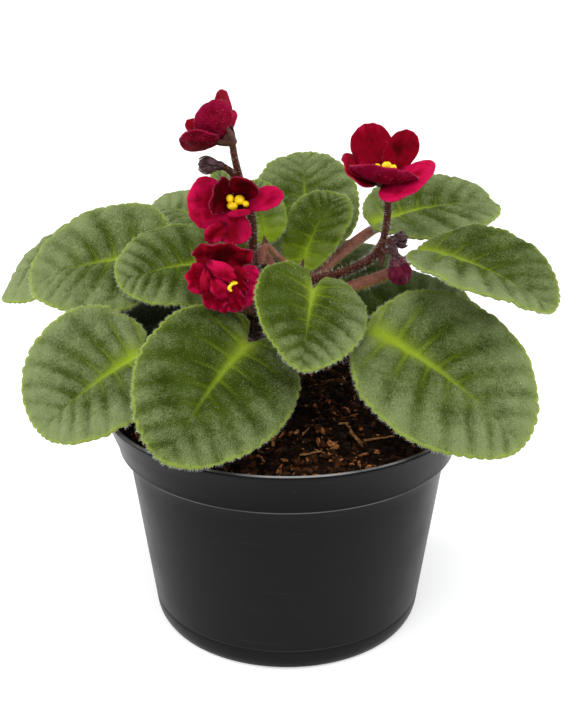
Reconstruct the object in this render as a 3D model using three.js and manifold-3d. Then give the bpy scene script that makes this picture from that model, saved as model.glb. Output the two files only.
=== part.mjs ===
// Potted African violet in a shallow black plastic pot.
// Units are millimetres, +Z is up, and the origin is the middle of the pot's flat underside.
// The viewer's side is -Y, and a heading of 0 degrees points to +X, 90 degrees to the back.

import * as THREE from 'three';
import { mergeVertices } from 'three/addons/utils/BufferGeometryUtils.js';
import Module from 'manifold-3d';

const wasm = await Module();
wasm.setup();

// Driving dimensions of the pot
const RIM_RADIUS = 60;
const POT_HEIGHT = 76;
const BAND_FOOT_RADIUS = 55.3;
const BAND_FOOT_HEIGHT = 62.4;
const STEP_UNDER_BAND = 2.8;
const FOOT_RADIUS = 45.2;
const FOOT_HEIGHT = 7;
const UNDERSIDE_RADIUS = 42.6;
const FOOT_ROUNDING = [44.3, 2.4];
const WALL = 1.6;
const FLOOR = 2.2;
const POT_SIDES = 32;
const DRAIN_HOLES = 6;
const DRAIN_RADIUS = 4;
const DRAIN_RING_RADIUS = 27;
const DRAIN_SIDES = 8;

// Driving dimensions of the soil and of the gaps between touching pieces
const GAP = 0.3;
const SOIL_TOP = 67.5;
const SOIL_LUMP = 0.55;
const SOIL_SIDES = 32;
const SOIL_RINGS = [1, 0.75, 0.5, 0.25];
const HOLE_CLEARANCE = 0.4;

// Driving dimensions of the leaves
const BLADE = 0.8;
const PETIOLE_ROOT_RADIUS = 2.3;
const PETIOLE_TIP_RADIUS = 1.5;
const PETIOLE_UNDER_BLADE = 6;
const PETIOLE_SIDES = 6;
const PETIOLE_STEPS = 6;
const LOBE = 0.16;
const NOTCH = 0.1;
const POINTED = 0.12;
const WIDEST = 0.36;
const TOOTH_DEPTH = 0.7;
const BASE_FULLNESS = 0.06;
const BLADE_RINGS = [0.72, 0.36];
const SMALL_LEAF = 32;
const SMALL_PETIOLE = 0.72;

// Driving dimensions of the flowers
const PETAL = 0.7;
const THROAT_RADIUS = 2.6;
const THROAT_DEPTH = 2.6;
const TUBE_WALL = 0.7;
const TUBE_SIDES = 8;
const PETAL_ROOT = 0.62;
const PETAL_SINK = 0.5;
const PETAL_WIDEST = 0.58;
const PETAL_NARROWING = 0.3;
const PETAL_INNER_RING = 0.55;
const PEDICEL_RADIUS = 1.05;
const PEDUNCLE_RADIUS = 1.35;
const STALK_SIDES = 6;
const STALK_TAPER = 1.12;
const BRACT_WIDTH = 1.6;
const SEPAL_WIDTH = 1.8;
const RUFFLES = 5;
const ANTHER_LENGTH = 3.1;
const ANTHER_WIDTH = 2.3;
const ANTHER_HEIGHT = 1.9;
const FILAMENT_RADIUS = 0.45;
const FILAMENT_FOOT = -THROAT_DEPTH + TUBE_WALL + GAP + 0.45;
const CALYX_KNOB = 1.35;
const SEPAL_REACH = 5.2;
const SEPAL_RISE = 1.6;

// The main stem, from its buried foot to the growing point, with the radius at each point
const NECK = [[-6, 4, 44], [-6, 5, 68], [-4, 7, 88], [-1, 10, 106], [0, 11, 111]];
const NECK_RADII = [4.5, 5.6, 6.2, 4.6, 2.2];
const NECK_SIDES = 8;
const NECK_STEPS = 8;

// A young bud stalk that bends over like a hook and grew as one with the crown
const HOOK_BUD = [
  [1, 10, 106], [0, 8, 117], [-3.5, 6.5, 121.5], [-6.5, 5, 124.5], [-8.3, 4, 122.5], [-8.2, 3, 119.5],
];
const HOOK_BUD_RADII = [1.1, 1, 1, 1.1, 1.6, 1.2];

// Each leaf: base is where the midrib meets the petiole, from is the height at which the petiole
// leaves the stem, heading is the way the blade grows, pitch its slope at the base, droop how far
// it bends down to the tip, roll its tilt about the midrib, fold and dish its cross-section
const LEAVES = {
  leaf_front_left: { base: [-11.5, -21, 102.5], from: 84, heading: 243, pitch: -10, droop: 24, roll: -31,
    length: 53.5, width: 47.5, fold: 0.24, dish: 0.23, teeth: 24 },
  leaf_front_right: { base: [27, -21, 105], from: 84, heading: 334, pitch: -17, droop: 28, roll: 26,
    length: 56, width: 55, fold: 0.24, dish: 0.15, lobe: 0.09, widest: 0.42, pointed: 0.15, teeth: 28 },
  leaf_centre_heart: { base: [8, -15, 117.7], from: 100, heading: 263, pitch: -14, droop: 23, roll: -21,
    length: 35, width: 35, fold: 0.3, dish: 0.19, lobe: 0.25, widest: 0.33, pointed: 0.21, teeth: 24 },
  leaf_left_low: { base: [-44.5, -25, 100.3], from: 80, heading: 207, pitch: -22, droop: 20, roll: -24,
    length: 38.5, width: 48, fold: 0.28, dish: 0, teeth: 24 },
  leaf_left_high: { base: [-39.5, 7.5, 120], from: 94, heading: 176, pitch: 3, droop: 33, roll: -33,
    length: 46, width: 45.5, fold: 0.21, dish: 0.12, lobe: 0.08, widest: 0.36, pointed: 0.17, teeth: 24 },
  leaf_left_near: { base: [-22.5, 2.5, 120], from: 102, heading: 195, pitch: 5, droop: 26, roll: -27,
    length: 32, width: 37, fold: 0.25, dish: 0.21, teeth: 24 },
  leaf_far_left: { base: [-67, 28, 122], from: 90, heading: 164, pitch: -22, droop: 28, roll: -20,
    length: 39, width: 43, fold: 0.18, dish: 0.33, teeth: 24 },
  leaf_back_left: { base: [-22, 42, 119.5], from: 97, heading: 136, pitch: 13, droop: 21, roll: -17,
    length: 39.5, width: 36.5, fold: 0.23, dish: 0.26, teeth: 24 },
  leaf_young_left: { base: [-7.5, 15.5, 125.5], from: 108, heading: 100, pitch: 42, droop: 31, roll: -7,
    length: 27, width: 17, fold: 0.22, dish: 0.26, teeth: 16 },
  leaf_young_right: { base: [5.5, 13, 118], from: 108, heading: 61, pitch: 53, droop: 38, roll: 12,
    length: 30.5, width: 20.5, fold: 0.28, dish: 0.09, lobe: 0.09, widest: 0.49, pointed: 0.19, teeth: 20 },
  leaf_young_behind: { base: [-14, 26, 121], from: 106, heading: 143, pitch: 66, droop: 12, roll: 0,
    length: 26, width: 15, fold: 0.25, dish: 0.2, teeth: 16 },
  leaf_back: { base: [6.5, 36.5, 119.5], from: 98, heading: 91, pitch: 30, droop: 15, roll: -4,
    length: 48, width: 38, fold: 0.24, dish: 0.22, teeth: 24 },
  leaf_back_right: { base: [28, 31, 124.5], from: 104, heading: 15, pitch: 18, droop: 26, roll: 12,
    length: 46, width: 44, fold: 0.29, dish: 0.24, lobe: 0.02, widest: 0.5, pointed: 0.09, teeth: 24,
    via: [[9, 15, 112], [18, 23, 117]] },
  leaf_right_high: { base: [41, 5, 124], from: 101, heading: 327, pitch: 1, droop: 30, roll: 5,
    length: 49.5, width: 45, fold: 0.22, dish: 0.05, lobe: 0, widest: 0.44, pointed: 0.3, teeth: 24,
    via: [[22, 7, 111], [33, 7.5, 115]] },
  leaf_right_shaded: { base: [25.5, 5, 95.5], from: 84, heading: 36, pitch: 15, droop: 26, roll: 20,
    length: 48, width: 43, fold: 0.23, dish: 0.21, teeth: 24 },
  leaf_low_back: { base: [-11, 42, 98], from: 84, heading: 113, pitch: 18, droop: 24, roll: 0,
    length: 46, width: 36, fold: 0.23, dish: 0.23, teeth: 20 },
  leaf_low_back_right: { base: [18, 39, 95], from: 80, heading: 76, pitch: 22, droop: 20, roll: 5,
    length: 43, width: 36, fold: 0.23, dish: 0.23, teeth: 20 },
  leaf_low_back_left: { base: [-28, 22, 93.5], from: 80, heading: 180, pitch: -4, droop: 26, roll: -8,
    length: 43, width: 42, fold: 0.2, dish: 0.2, teeth: 20 },
};

// Each flower: throat is the mouth of the tube, face the way it looks, and each petal has its tip,
// its width, cup (how far its sides come forward), arch (bulge along its length), curl at the tip,
// ruffle (waves of its edge), and a face of its own where it doesn't look the flower's way
const FLOWERS = {
  flower_right: {
    throat: [30, 4, 148.5], face: [0, -0.45, 0.9],
    petals: [
      { tip: [25.5, 9, 162.6], width: 13, cup: 1.2, arch: -1, curl: -0.5 },
      { tip: [36.3, 9, 160.8], width: 11.5, cup: 1.2, arch: -1, curl: -0.5 },
      { tip: [41, -7.5, 146], width: 20, cup: 0.8, arch: -0.8, curl: -0.4 },
      { tip: [29, -9.5, 153.5], width: 19, cup: 1, arch: -3.2, curl: 1, face: [0.19, 0.35, 0.9] },
      { tip: [17.2, 0, 152.5], width: 15, cup: 2, arch: -2.2, curl: 1.5 },
    ],
  },
  flower_middle: {
    throat: [-15.5, -4.5, 141.2], face: [0.1, -0.92, 0.35],
    petals: [
      { tip: [-29.4, -8, 141.8], width: 16, cup: 1, arch: -0.8, curl: -0.6 },
      { tip: [-18.8, -9, 130.3], width: 13, cup: 1.2, arch: -0.6, curl: 0.8 },
      { tip: [-2.8, -8, 142.5], width: 12, cup: 1.5, arch: -0.8, curl: 0.5 },
      { tip: [-22.2, -10.5, 148], width: 10.5, cup: 1.5, arch: -1.5, curl: 1.5, ruffle: 0.4 },
      { tip: [-11.3, -8.5, 150.6], width: 10.5, cup: 1.5, arch: -1.2, curl: 1.2, ruffle: 0.4 },
    ],
  },
  flower_low: {
    throat: [-19.4, -18, 122], face: [-0.1, -0.97, 0.2], isDouble: true,
    petals: [
      { tip: [-19.4, -19, 132.6], width: 19, cup: 1.2, arch: -1.2, curl: 0.6, ruffle: 0.7 },
      { tip: [-30.2, -21.5, 122.3], width: 11, cup: 1, arch: -0.8, curl: 0.6, ruffle: 0.5 },
      { tip: [-8.8, -21, 118.8], width: 15, cup: 1, arch: -0.8, curl: 0.4, ruffle: 0.5 },
      { tip: [-14.6, -22, 112.4], width: 9, cup: 1.2, arch: -0.6, curl: 0.6, ruffle: 0.6 },
      { tip: [-23, -23, 112.2], width: 10, cup: 1.6, arch: -0.6, curl: 0.8, ruffle: 0.8 },
      { tip: [-19.5, -26, 127.5], width: 7.5, cup: -1.5, arch: 1.2, curl: 1, isSmall: true },
      { tip: [-24.5, -26, 122], width: 7, cup: -1.5, arch: 1, curl: 1, isSmall: true },
      { tip: [-20.6, -26.5, 116.5], width: 7, cup: 1.5, arch: 1, curl: 1, isSmall: true },
      { tip: [-14.8, -24.5, 125], width: 5, cup: 1.2, arch: 0.6, curl: 0.5, isSmall: true },
    ],
  },
  flower_top: {
    throat: [-19.6, -2, 162.3], face: [-0.7, 0.1, 0.6],
    petals: [
      { tip: [-24.8, -7.5, 172.4], width: 12.5, cup: 2, arch: -2.2, curl: 0.6, face: [-0.3, 0.9, 0.1] },
      { tip: [-19.6, 1.5, 174.8], width: 10, cup: 1.5, arch: -1.2, curl: 0.4, face: [-1, 0.2, 0] },
      { tip: [-31.7, -6, 161.4], width: 13.5, cup: 1.6, arch: -2.2, curl: 0.6, face: [0.2, 0.6, 0.75] },
      { tip: [-15.9, 7, 167], width: 9, cup: 1.2, arch: -1, curl: 0.4, face: [-0.8, -0.5, 0.2] },
      { tip: [-31, 4, 164.6], width: 10, cup: 1.5, arch: -1.4, curl: 0.4, face: [0, -0.3, 0.9] },
    ],
  },
};

// Flower stalks, each a list of stems with its points, and the calyces and bracts on it
const STALKS = {
  flower_stalk_left: {
    stems: [
      {
        radius: PEDUNCLE_RADIUS,
        points: [[-1, 9, 104], [-8, 5.5, 112], [-10.5, 3.5, 119], [-11, 2, 134], [-13.5, 0, 144]],
      },
      {
        radius: PEDICEL_RADIUS,
        points: [[-13, 0, 142], [-15.5, -1, 148.5], [-16, -1, 154], [-16.6, -1, 159]],
      },
      {
        radius: PEDICEL_RADIUS,
        points: [[-13, 0, 142], [-15.5, -0.5, 147.5], [-18, -1, 150.5], [-20.5, -1, 152.4]],
      },
      {
        radius: PEDICEL_RADIUS,
        points: [[-13, 0, 142], [-14, 0.5, 144], [-14.6, -0.5, 143.2], [-15, -1.2, 142.8]],
      },
    ],
    calyces: ['flower_top', 'flower_middle'],
    bracts: [{ at: [-14, 0, 146], to: [-10.5, 0, 149.5] }, { at: [-14, 0, 146], to: [-14, -4, 149] }],
  },
  flower_stalk_right: {
    stems: [
      {
        radius: PEDUNCLE_RADIUS,
        points: [[1, 9.5, 104], [7.5, 8, 112], [18.5, 6, 116], [27.5, 5, 121.5], [30.5, 4, 127]],
      },
      {
        radius: PEDICEL_RADIUS,
        points: [[30, 4.2, 125], [31.2, 4, 132], [31.5, 4, 140], [30.8, 4.8, 144.4]],
      },
      {
        radius: PEDICEL_RADIUS,
        points: [[29.5, 4.4, 124], [32, 2, 127.5], [34, 1, 126.6], [34.8, 1, 124.3]],
      },
      {
        radius: PEDICEL_RADIUS,
        points: [[29.5, 4.4, 124], [32, 6, 126.5], [33.4, 6.4, 127.2]],
      },
    ],
    calyces: ['flower_right'],
    bracts: [{ at: [30, 3, 123], to: [29.5, 0, 119] }, { at: [30.5, 3, 124], to: [33.5, -1, 125] }],
  },
  flower_stalk_low: {
    stems: [
      {
        radius: PEDICEL_RADIUS,
        points: [[-3, 8, 100], [-9, 2, 108], [-14, -6, 116], [-17.8, -12, 119.8], [-18.6, -14.2, 120.6]],
      },
    ],
    calyces: ['flower_low'],
    bracts: [],
  },
};

// The closed buds: centre, the way the bud points, length, width, and how many folds run along it
const BUDS = {
  bud_dark_left: {
    root: [-20.9, -1.1, 152.6], way: [-1, -0.1, 0.22], length: 8, width: 4.6, folds: 5, depth: 0.1,
  },
  bud_crimson_hanging: {
    root: [34.9, 1, 123.9], way: [0.12, 0, -1], length: 11, width: 7.6, folds: 5, depth: 0.14,
  },
  bud_dark_right: {
    root: [33.75, 6.6, 127.15], way: [0.75, 0.35, -0.25], length: 5.6, width: 4.8, folds: 5, depth: 0.08,
  },
};

// Finishes seen in the photo
const FINISHES = {
  pot: new THREE.MeshStandardMaterial({ color: 0x1b1c1e, roughness: 0.42, metalness: 0 }),
  soil: new THREE.MeshStandardMaterial({ color: 0x23160e, roughness: 0.95, metalness: 0 }),
  stem: new THREE.MeshStandardMaterial({ color: 0x5a2a1c, roughness: 0.6, metalness: 0 }),
  leaf: new THREE.MeshStandardMaterial({ color: 0x4c6b24, roughness: 0.75, metalness: 0 }),
  petal: new THREE.MeshStandardMaterial({ color: 0x9b0730, roughness: 0.6, metalness: 0 }),
  anther: new THREE.MeshStandardMaterial({ color: 0xf2c40a, roughness: 0.5, metalness: 0 }),
  bud: new THREE.MeshStandardMaterial({ color: 0x5b1226, roughness: 0.6, metalness: 0 }),
};

const plant = new THREE.Group();

function place(name, geometry, finish) {
  const mesh = new THREE.Mesh(geometry, FINISHES[finish]);
  mesh.name = name;
  plant.add(mesh);
}

// A closed mesh as a solid that can be joined and cut, and back again
function solidOf(geometry) {
  const bare = geometry.clone();
  bare.deleteAttribute('normal');
  bare.deleteAttribute('uv');
  const merged = mergeVertices(bare, 1e-4);
  return new wasm.Manifold(new wasm.Mesh({
    numProp: 3,
    vertProperties: new Float32Array(merged.attributes.position.array),
    triVerts: new Uint32Array(merged.index.array),
  }));
}

function geometryOf(solid) {
  const mesh = solid.getMesh();
  const geometry = new THREE.BufferGeometry();
  geometry.setAttribute('position', new THREE.BufferAttribute(new Float32Array(mesh.vertProperties), 3));
  geometry.setIndex(new THREE.BufferAttribute(new Uint32Array(mesh.triVerts), 1));
  return geometry;
}

function joined(solids) {
  return solids.reduce((whole, solid) => whole.add(solid));
}

// A cut can leave loose scraps, and only the main body is kept
function mainBody(solid) {
  return solid.decompose().reduce((best, piece) => (piece.volume() > best.volume() ? piece : best));
}

// A lathe profile turned about +Z
function turned(profile, sides) {
  const points = profile.map(([radius, height]) => new THREE.Vector2(radius, height));
  return new THREE.LatheGeometry(points, sides).rotateX(Math.PI / 2);
}

// A round stem along a smooth curve, its radius changing evenly from one point to the next
function stem(points, radii, sides, steps) {
  const curve = new THREE.CatmullRomCurve3(points.map((p) => new THREE.Vector3(...p)), false, 'centripetal');
  const frames = curve.computeFrenetFrames(steps, false);
  const corners = [];
  for (let i = 0; i <= steps; i += 1) {
    const t = curve.getUtoTmapping(i / steps);
    const centre = curve.getPoint(t);
    const span = t * (radii.length - 1);
    const from = Math.min(Math.floor(span), radii.length - 2);
    const radius = THREE.MathUtils.lerp(radii[from], radii[from + 1], span - from);
    for (let k = 0; k < sides; k += 1) {
      const angle = (k / sides) * 2 * Math.PI;
      corners.push(centre.clone()
        .addScaledVector(frames.normals[i], radius * Math.cos(angle))
        .addScaledVector(frames.binormals[i], radius * Math.sin(angle)));
    }
  }
  const first = corners.push(curve.getPoint(0)) - 1;
  const last = corners.push(curve.getPoint(1)) - 1;
  const faces = [];
  for (let k = 0; k < sides; k += 1) {
    const next = (k + 1) % sides;
    for (let i = 0; i < steps; i += 1) {
      const a = i * sides;
      const b = a + sides;
      faces.push(a + k, b + next, b + k, a + k, a + next, b + next);
    }
    faces.push(first, next, k);
    faces.push(last, steps * sides + k, steps * sides + next);
  }
  return facing(corners, faces);
}

// A mesh from corners and triangles, turned the right way out if need be
function facing(corners, faces) {
  const geometry = new THREE.BufferGeometry().setFromPoints(corners);
  geometry.setIndex(faces);
  let volume = 0;
  for (let i = 0; i < faces.length; i += 3) {
    const [a, b, c] = [corners[faces[i]], corners[faces[i + 1]], corners[faces[i + 2]]];
    volume += a.dot(b.clone().cross(c));
  }
  if (volume < 0) {
    geometry.setIndex(faces.map((_, i) => faces[i - (i % 3) + (2 - (i % 3))]));
  }
  return geometry;
}

// A thin sheet over rings of flat points, outermost first and a single middle point last. Both
// faces are split into triangles alike. where(a, b) gives the point of the sheet's mid surface
function sheet(rings, thickness, where) {
  const step = 0.05;
  const corners = { top: [], bottom: [] };
  for (const [a, b] of rings.flat()) {
    const along = where(a + step, b).sub(where(a - step, b));
    const across = where(a, b + step).sub(where(a, b - step));
    const normal = along.cross(across).normalize();
    const centre = where(a, b);
    corners.top.push(centre.clone().addScaledVector(normal, thickness / 2));
    corners.bottom.push(centre.clone().addScaledVector(normal, -thickness / 2));
  }
  const face = [];
  let start = 0;
  for (let r = 0; r + 1 < rings.length; r += 1) {
    const outer = rings[r].length;
    const inner = rings[r + 1].length;
    const next = start + outer;
    const ratio = outer / inner;
    for (let k = 0; k < outer; k += 1) {
      const low = next + (Math.floor((k + (ratio - 1) / 2) / ratio) % inner);
      const high = next + (Math.floor((k + 1 + (ratio - 1) / 2) / ratio) % inner);
      const a = start + k;
      const b = start + ((k + 1) % outer);
      face.push(a, b, inner === 1 ? next : high);
      if (low !== high && inner > 1) {
        face.push(a, high, low);
      }
    }
    start = next;
  }
  const count = corners.top.length;
  const faces = [...face];
  for (let i = 0; i < face.length; i += 3) {
    faces.push(face[i] + count, face[i + 2] + count, face[i + 1] + count);
  }
  const rim = rings[0].length;
  for (let k = 0; k < rim; k += 1) {
    const next = (k + 1) % rim;
    faces.push(k, k + count, next + count, k, next + count, next);
  }
  return facing([...corners.top, ...corners.bottom], faces);
}

// The pot: a thin moulded wall with a flared band, a step under it and a rounded foot
function potWall() {
  const stepRadius = BAND_FOOT_RADIUS - STEP_UNDER_BAND;
  const outside = [
    [0, 0], [UNDERSIDE_RADIUS, 0], FOOT_ROUNDING, [FOOT_RADIUS, FOOT_HEIGHT],
    [stepRadius, BAND_FOOT_HEIGHT], [BAND_FOOT_RADIUS, BAND_FOOT_HEIGHT], [RIM_RADIUS, POT_HEIGHT],
  ];
  const inside = [
    [RIM_RADIUS - WALL, POT_HEIGHT], [BAND_FOOT_RADIUS - WALL, BAND_FOOT_HEIGHT + WALL / 2],
    [stepRadius - WALL, BAND_FOOT_HEIGHT - WALL],
    [FOOT_RADIUS - WALL, FOOT_HEIGHT], [UNDERSIDE_RADIUS - WALL / 2, FLOOR], [0, FLOOR],
  ];
  let pot = solidOf(turned([...outside, ...inside], POT_SIDES));
  for (let i = 0; i < DRAIN_HOLES; i += 1) {
    const angle = ((i + 0.5) / DRAIN_HOLES) * 2 * Math.PI;
    const drill = new THREE.CylinderGeometry(DRAIN_RADIUS, DRAIN_RADIUS, 4 * FLOOR, DRAIN_SIDES);
    const [x, y] = [Math.cos(angle), Math.sin(angle)].map((share) => share * DRAIN_RING_RADIUS);
    drill.rotateX(Math.PI / 2).translate(x, y, FLOOR / 2);
    pot = pot.subtract(solidOf(drill));
  }
  return geometryOf(pot);
}

// Height of the lumpy soil surface above a point
function soilHeight(x, y) {
  const waves = Math.sin(x * 0.31 + 1.3) * Math.cos(y * 0.27) + 0.6 * Math.sin(x * 0.55 - y * 0.47);
  return SOIL_TOP + SOIL_LUMP * waves;
}

// The soil fills the pot just inside its wall, with a plain hole for the stem
function soilPlug(hole) {
  const inset = WALL + 2.4 * GAP;
  const topRadius = THREE.MathUtils.mapLinear(
    SOIL_TOP - WALL, BAND_FOOT_HEIGHT, POT_HEIGHT, BAND_FOOT_RADIUS, RIM_RADIUS) - inset;
  const low = FLOOR + GAP;
  const rings = [
    { radius: UNDERSIDE_RADIUS - WALL / 2 - 2 * GAP, height: low },
    { radius: FOOT_RADIUS - inset, height: FOOT_HEIGHT },
    { radius: BAND_FOOT_RADIUS - STEP_UNDER_BAND - inset, height: BAND_FOOT_HEIGHT - WALL },
    { radius: BAND_FOOT_RADIUS - inset, height: BAND_FOOT_HEIGHT + WALL / 2 + GAP },
    ...SOIL_RINGS.map((share) => ({ radius: share * topRadius })),
  ];
  const corners = [];
  for (const { radius, height } of rings) {
    for (let k = 0; k < SOIL_SIDES; k += 1) {
      const angle = (k / SOIL_SIDES) * 2 * Math.PI;
      const x = radius * Math.cos(angle);
      const y = radius * Math.sin(angle);
      corners.push(new THREE.Vector3(x, y, height ?? soilHeight(x, y)));
    }
  }
  const under = corners.push(new THREE.Vector3(0, 0, low)) - 1;
  const top = corners.push(new THREE.Vector3(0, 0, soilHeight(0, 0))) - 1;
  const faces = [];
  const lastRing = (rings.length - 1) * SOIL_SIDES;
  for (let k = 0; k < SOIL_SIDES; k += 1) {
    const next = (k + 1) % SOIL_SIDES;
    for (let r = 0; r + 1 < rings.length; r += 1) {
      const a = r * SOIL_SIDES;
      const b = a + SOIL_SIDES;
      faces.push(a + k, a + next, b + next, a + k, b + next, b + k);
    }
    faces.push(under, next, k, top, lastRing + k, lastRing + next);
  }
  return geometryOf(solidOf(facing(corners, faces)).subtract(hole));
}

// Half outline of a leaf: egg-shaped, widest before its middle, with two lobes round the notch at
// the base. turn runs from -PI at the notch through 0 at the tip
function leafOutline(leaf, turn) {
  const lobe = (leaf.lobe ?? LOBE) * leaf.length;
  const middle = (leaf.widest ?? WIDEST) * leaf.length;
  const back = Math.max(-Math.cos(turn), 0);
  const front = Math.max(Math.cos(turn), 0);
  const reach = front > 0 ? leaf.length - middle : middle + lobe;
  let across = 0.5 * leaf.width * Math.sin(turn) * (1 - (leaf.pointed ?? POINTED) * front * front);
  if (back > 0) {
    across *= 1 + BASE_FULLNESS * Math.sin(2 * turn) ** 2;
  }
  const notch = lobe * Math.exp(-((across / (NOTCH * leaf.width)) ** 2)) * back;
  return [middle + reach * Math.cos(turn) + notch, across];
}

// A point of the blade's mid surface, along the midrib and across it
function leafPoint(leaf, along, across) {
  const rad = THREE.MathUtils.degToRad;
  const slope = rad(leaf.pitch);
  const bend = -rad(leaf.droop) / leaf.length;
  const forward = Math.max(along, 0);
  const behind = Math.min(along, 0);
  const angle = slope + bend * forward;
  const run = (Math.sin(angle) - Math.sin(slope)) / bend + behind * Math.cos(slope);
  const rise = (Math.cos(slope) - Math.cos(angle)) / bend + behind * Math.sin(slope);
  const half = 0.5 * leaf.width;
  const lift = leaf.fold * Math.abs(across) - (leaf.dish * across * across) / half;
  const roll = rad(leaf.roll);
  const side = across * Math.cos(roll) - lift * Math.sin(roll);
  const up = across * Math.sin(roll) + lift * Math.cos(roll);
  const heading = rad(leaf.heading);
  const way = new THREE.Vector3(Math.cos(heading), Math.sin(heading), 0);
  const left = new THREE.Vector3(-Math.sin(heading), Math.cos(heading), 0);
  return new THREE.Vector3(...leaf.base)
    .addScaledVector(way, run - up * Math.sin(angle))
    .addScaledVector(left, side)
    .add(new THREE.Vector3(0, 0, rise + up * Math.cos(angle)));
}

// A blade with scalloped edges
function leafBlade(leaf) {
  const middle = (leaf.widest ?? WIDEST) * leaf.length;
  const rings = [];
  const [outer, inner] = BLADE_RINGS;
  for (const [count, share] of [[2 * leaf.teeth, 1], [leaf.teeth, outer], [leaf.teeth / 2, inner]]) {
    const ring = [];
    for (let k = 0; k < count; k += 1) {
      const [along, across] = leafOutline(leaf, -Math.PI + (k / count) * 2 * Math.PI);
      const reach = Math.hypot(along - middle, across);
      const isValley = share === 1 && k % 2 === 0 && k !== leaf.teeth && k !== 0;
      const scale = share * (isValley ? 1 - TOOTH_DEPTH / reach : 1);
      ring.push([middle + (along - middle) * scale, across * scale]);
    }
    rings.push(ring);
  }
  rings.push([[middle, 0]]);
  return sheet(rings, BLADE, (a, b) => leafPoint(leaf, a, b));
}

// A petiole leaves the stem, rises and runs on under the start of the midrib
function petiole(leaf, extra = 0) {
  const curve = new THREE.CatmullRomCurve3(NECK.map((p) => new THREE.Vector3(...p)));
  const heights = curve.getPoints(200);
  const root = heights.find((p) => p.z >= leaf.from) ?? heights[200];
  const thin = leaf.length < SMALL_LEAF ? SMALL_PETIOLE : 1;
  const tipRadius = PETIOLE_TIP_RADIUS * thin;
  const below = (along) => {
    const here = leafPoint(leaf, along, 0);
    const way = leafPoint(leaf, along + 0.5, 0).sub(leafPoint(leaf, along - 0.5, 0)).normalize();
    const across = leafPoint(leaf, along, 0.5).sub(leafPoint(leaf, along, -0.5));
    const down = way.clone().cross(across).normalize().negate();
    return { at: here.addScaledVector(down, BLADE / 2 + 1.3 * GAP + tipRadius), way, down };
  };
  const start = below(0);
  const end = below(PETIOLE_UNDER_BLADE * thin);
  const distance = start.at.distanceTo(root);
  const approach = start.at.clone()
    .addScaledVector(start.way, -0.16 * distance)
    .addScaledVector(start.down, 0.12 * distance);
  const middle = root.clone().lerp(approach, 0.45);
  middle.z -= 0.04 * distance;
  const route = leaf.via ?? [middle.toArray(), approach.toArray()];
  const points = [root.toArray(), ...route, start.at.toArray(), end.at.toArray()];
  const radii = [PETIOLE_ROOT_RADIUS, 2, 1.8].map((r) => r * thin).concat([tipRadius, 0.7 * tipRadius]);
  return solidOf(stem(points, radii.map((r) => r + extra), PETIOLE_SIDES, PETIOLE_STEPS));
}

// A sepal or bract: a small flattened spike from one point to another
function spike(from, to, width) {
  const start = new THREE.Vector3(...from);
  const end = new THREE.Vector3(...to);
  const way = end.clone().sub(start);
  const cone = new THREE.ConeGeometry(width / 2, way.length(), 4).translate(0, way.length() / 2, 0);
  const turn = new THREE.Quaternion().setFromUnitVectors(new THREE.Vector3(0, 1, 0), way.clone().normalize());
  cone.applyQuaternion(turn);
  cone.translate(...start.toArray());
  return solidOf(cone);
}

// A calyx: a small cup behind the flower's tube with five sepals that spread under the petals
function calyx(flower) {
  const face = new THREE.Vector3(...flower.face).normalize();
  const throat = new THREE.Vector3(...flower.throat);
  const base = throat.clone().addScaledVector(face, -THROAT_DEPTH - GAP / 2 - CALYX_KNOB);
  const side = new THREE.Vector3(1, 0, 0).cross(face).normalize();
  const other = face.clone().cross(side);
  const parts = [];
  for (let i = 0; i < 5; i += 1) {
    const angle = ((i + 0.5) / 5) * 2 * Math.PI;
    const out = side.clone().multiplyScalar(Math.cos(angle)).addScaledVector(other, Math.sin(angle));
    const tip = base.clone().addScaledVector(out, SEPAL_REACH).addScaledVector(face, SEPAL_RISE);
    parts.push(spike(base.clone().addScaledVector(out, GAP).toArray(), tip.toArray(), SEPAL_WIDTH));
  }
  const knob = new THREE.SphereGeometry(CALYX_KNOB, 6, 5);
  knob.translate(...base.toArray());
  parts.push(solidOf(knob));
  return joined(parts);
}

// A flower stalk with its branches, bracts and calyces, cut just clear of the crown it grows from
function flowerStalk(stalk, clearance) {
  const parts = stalk.stems.map(({ points, radius }) => {
    const span = new THREE.Vector3(...points[0]).distanceTo(new THREE.Vector3(...points.at(-1)));
    const steps = Math.max(4, Math.round(span / 5));
    return solidOf(stem(points, [radius * STALK_TAPER, radius], STALK_SIDES, steps));
  });
  parts.push(...stalk.calyces.map((name) => calyx(FLOWERS[name])));
  parts.push(...stalk.bracts.map(({ at, to }) => spike(at, to, BRACT_WIDTH)));
  return mainBody(joined(parts).subtract(clearance));
}

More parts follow.
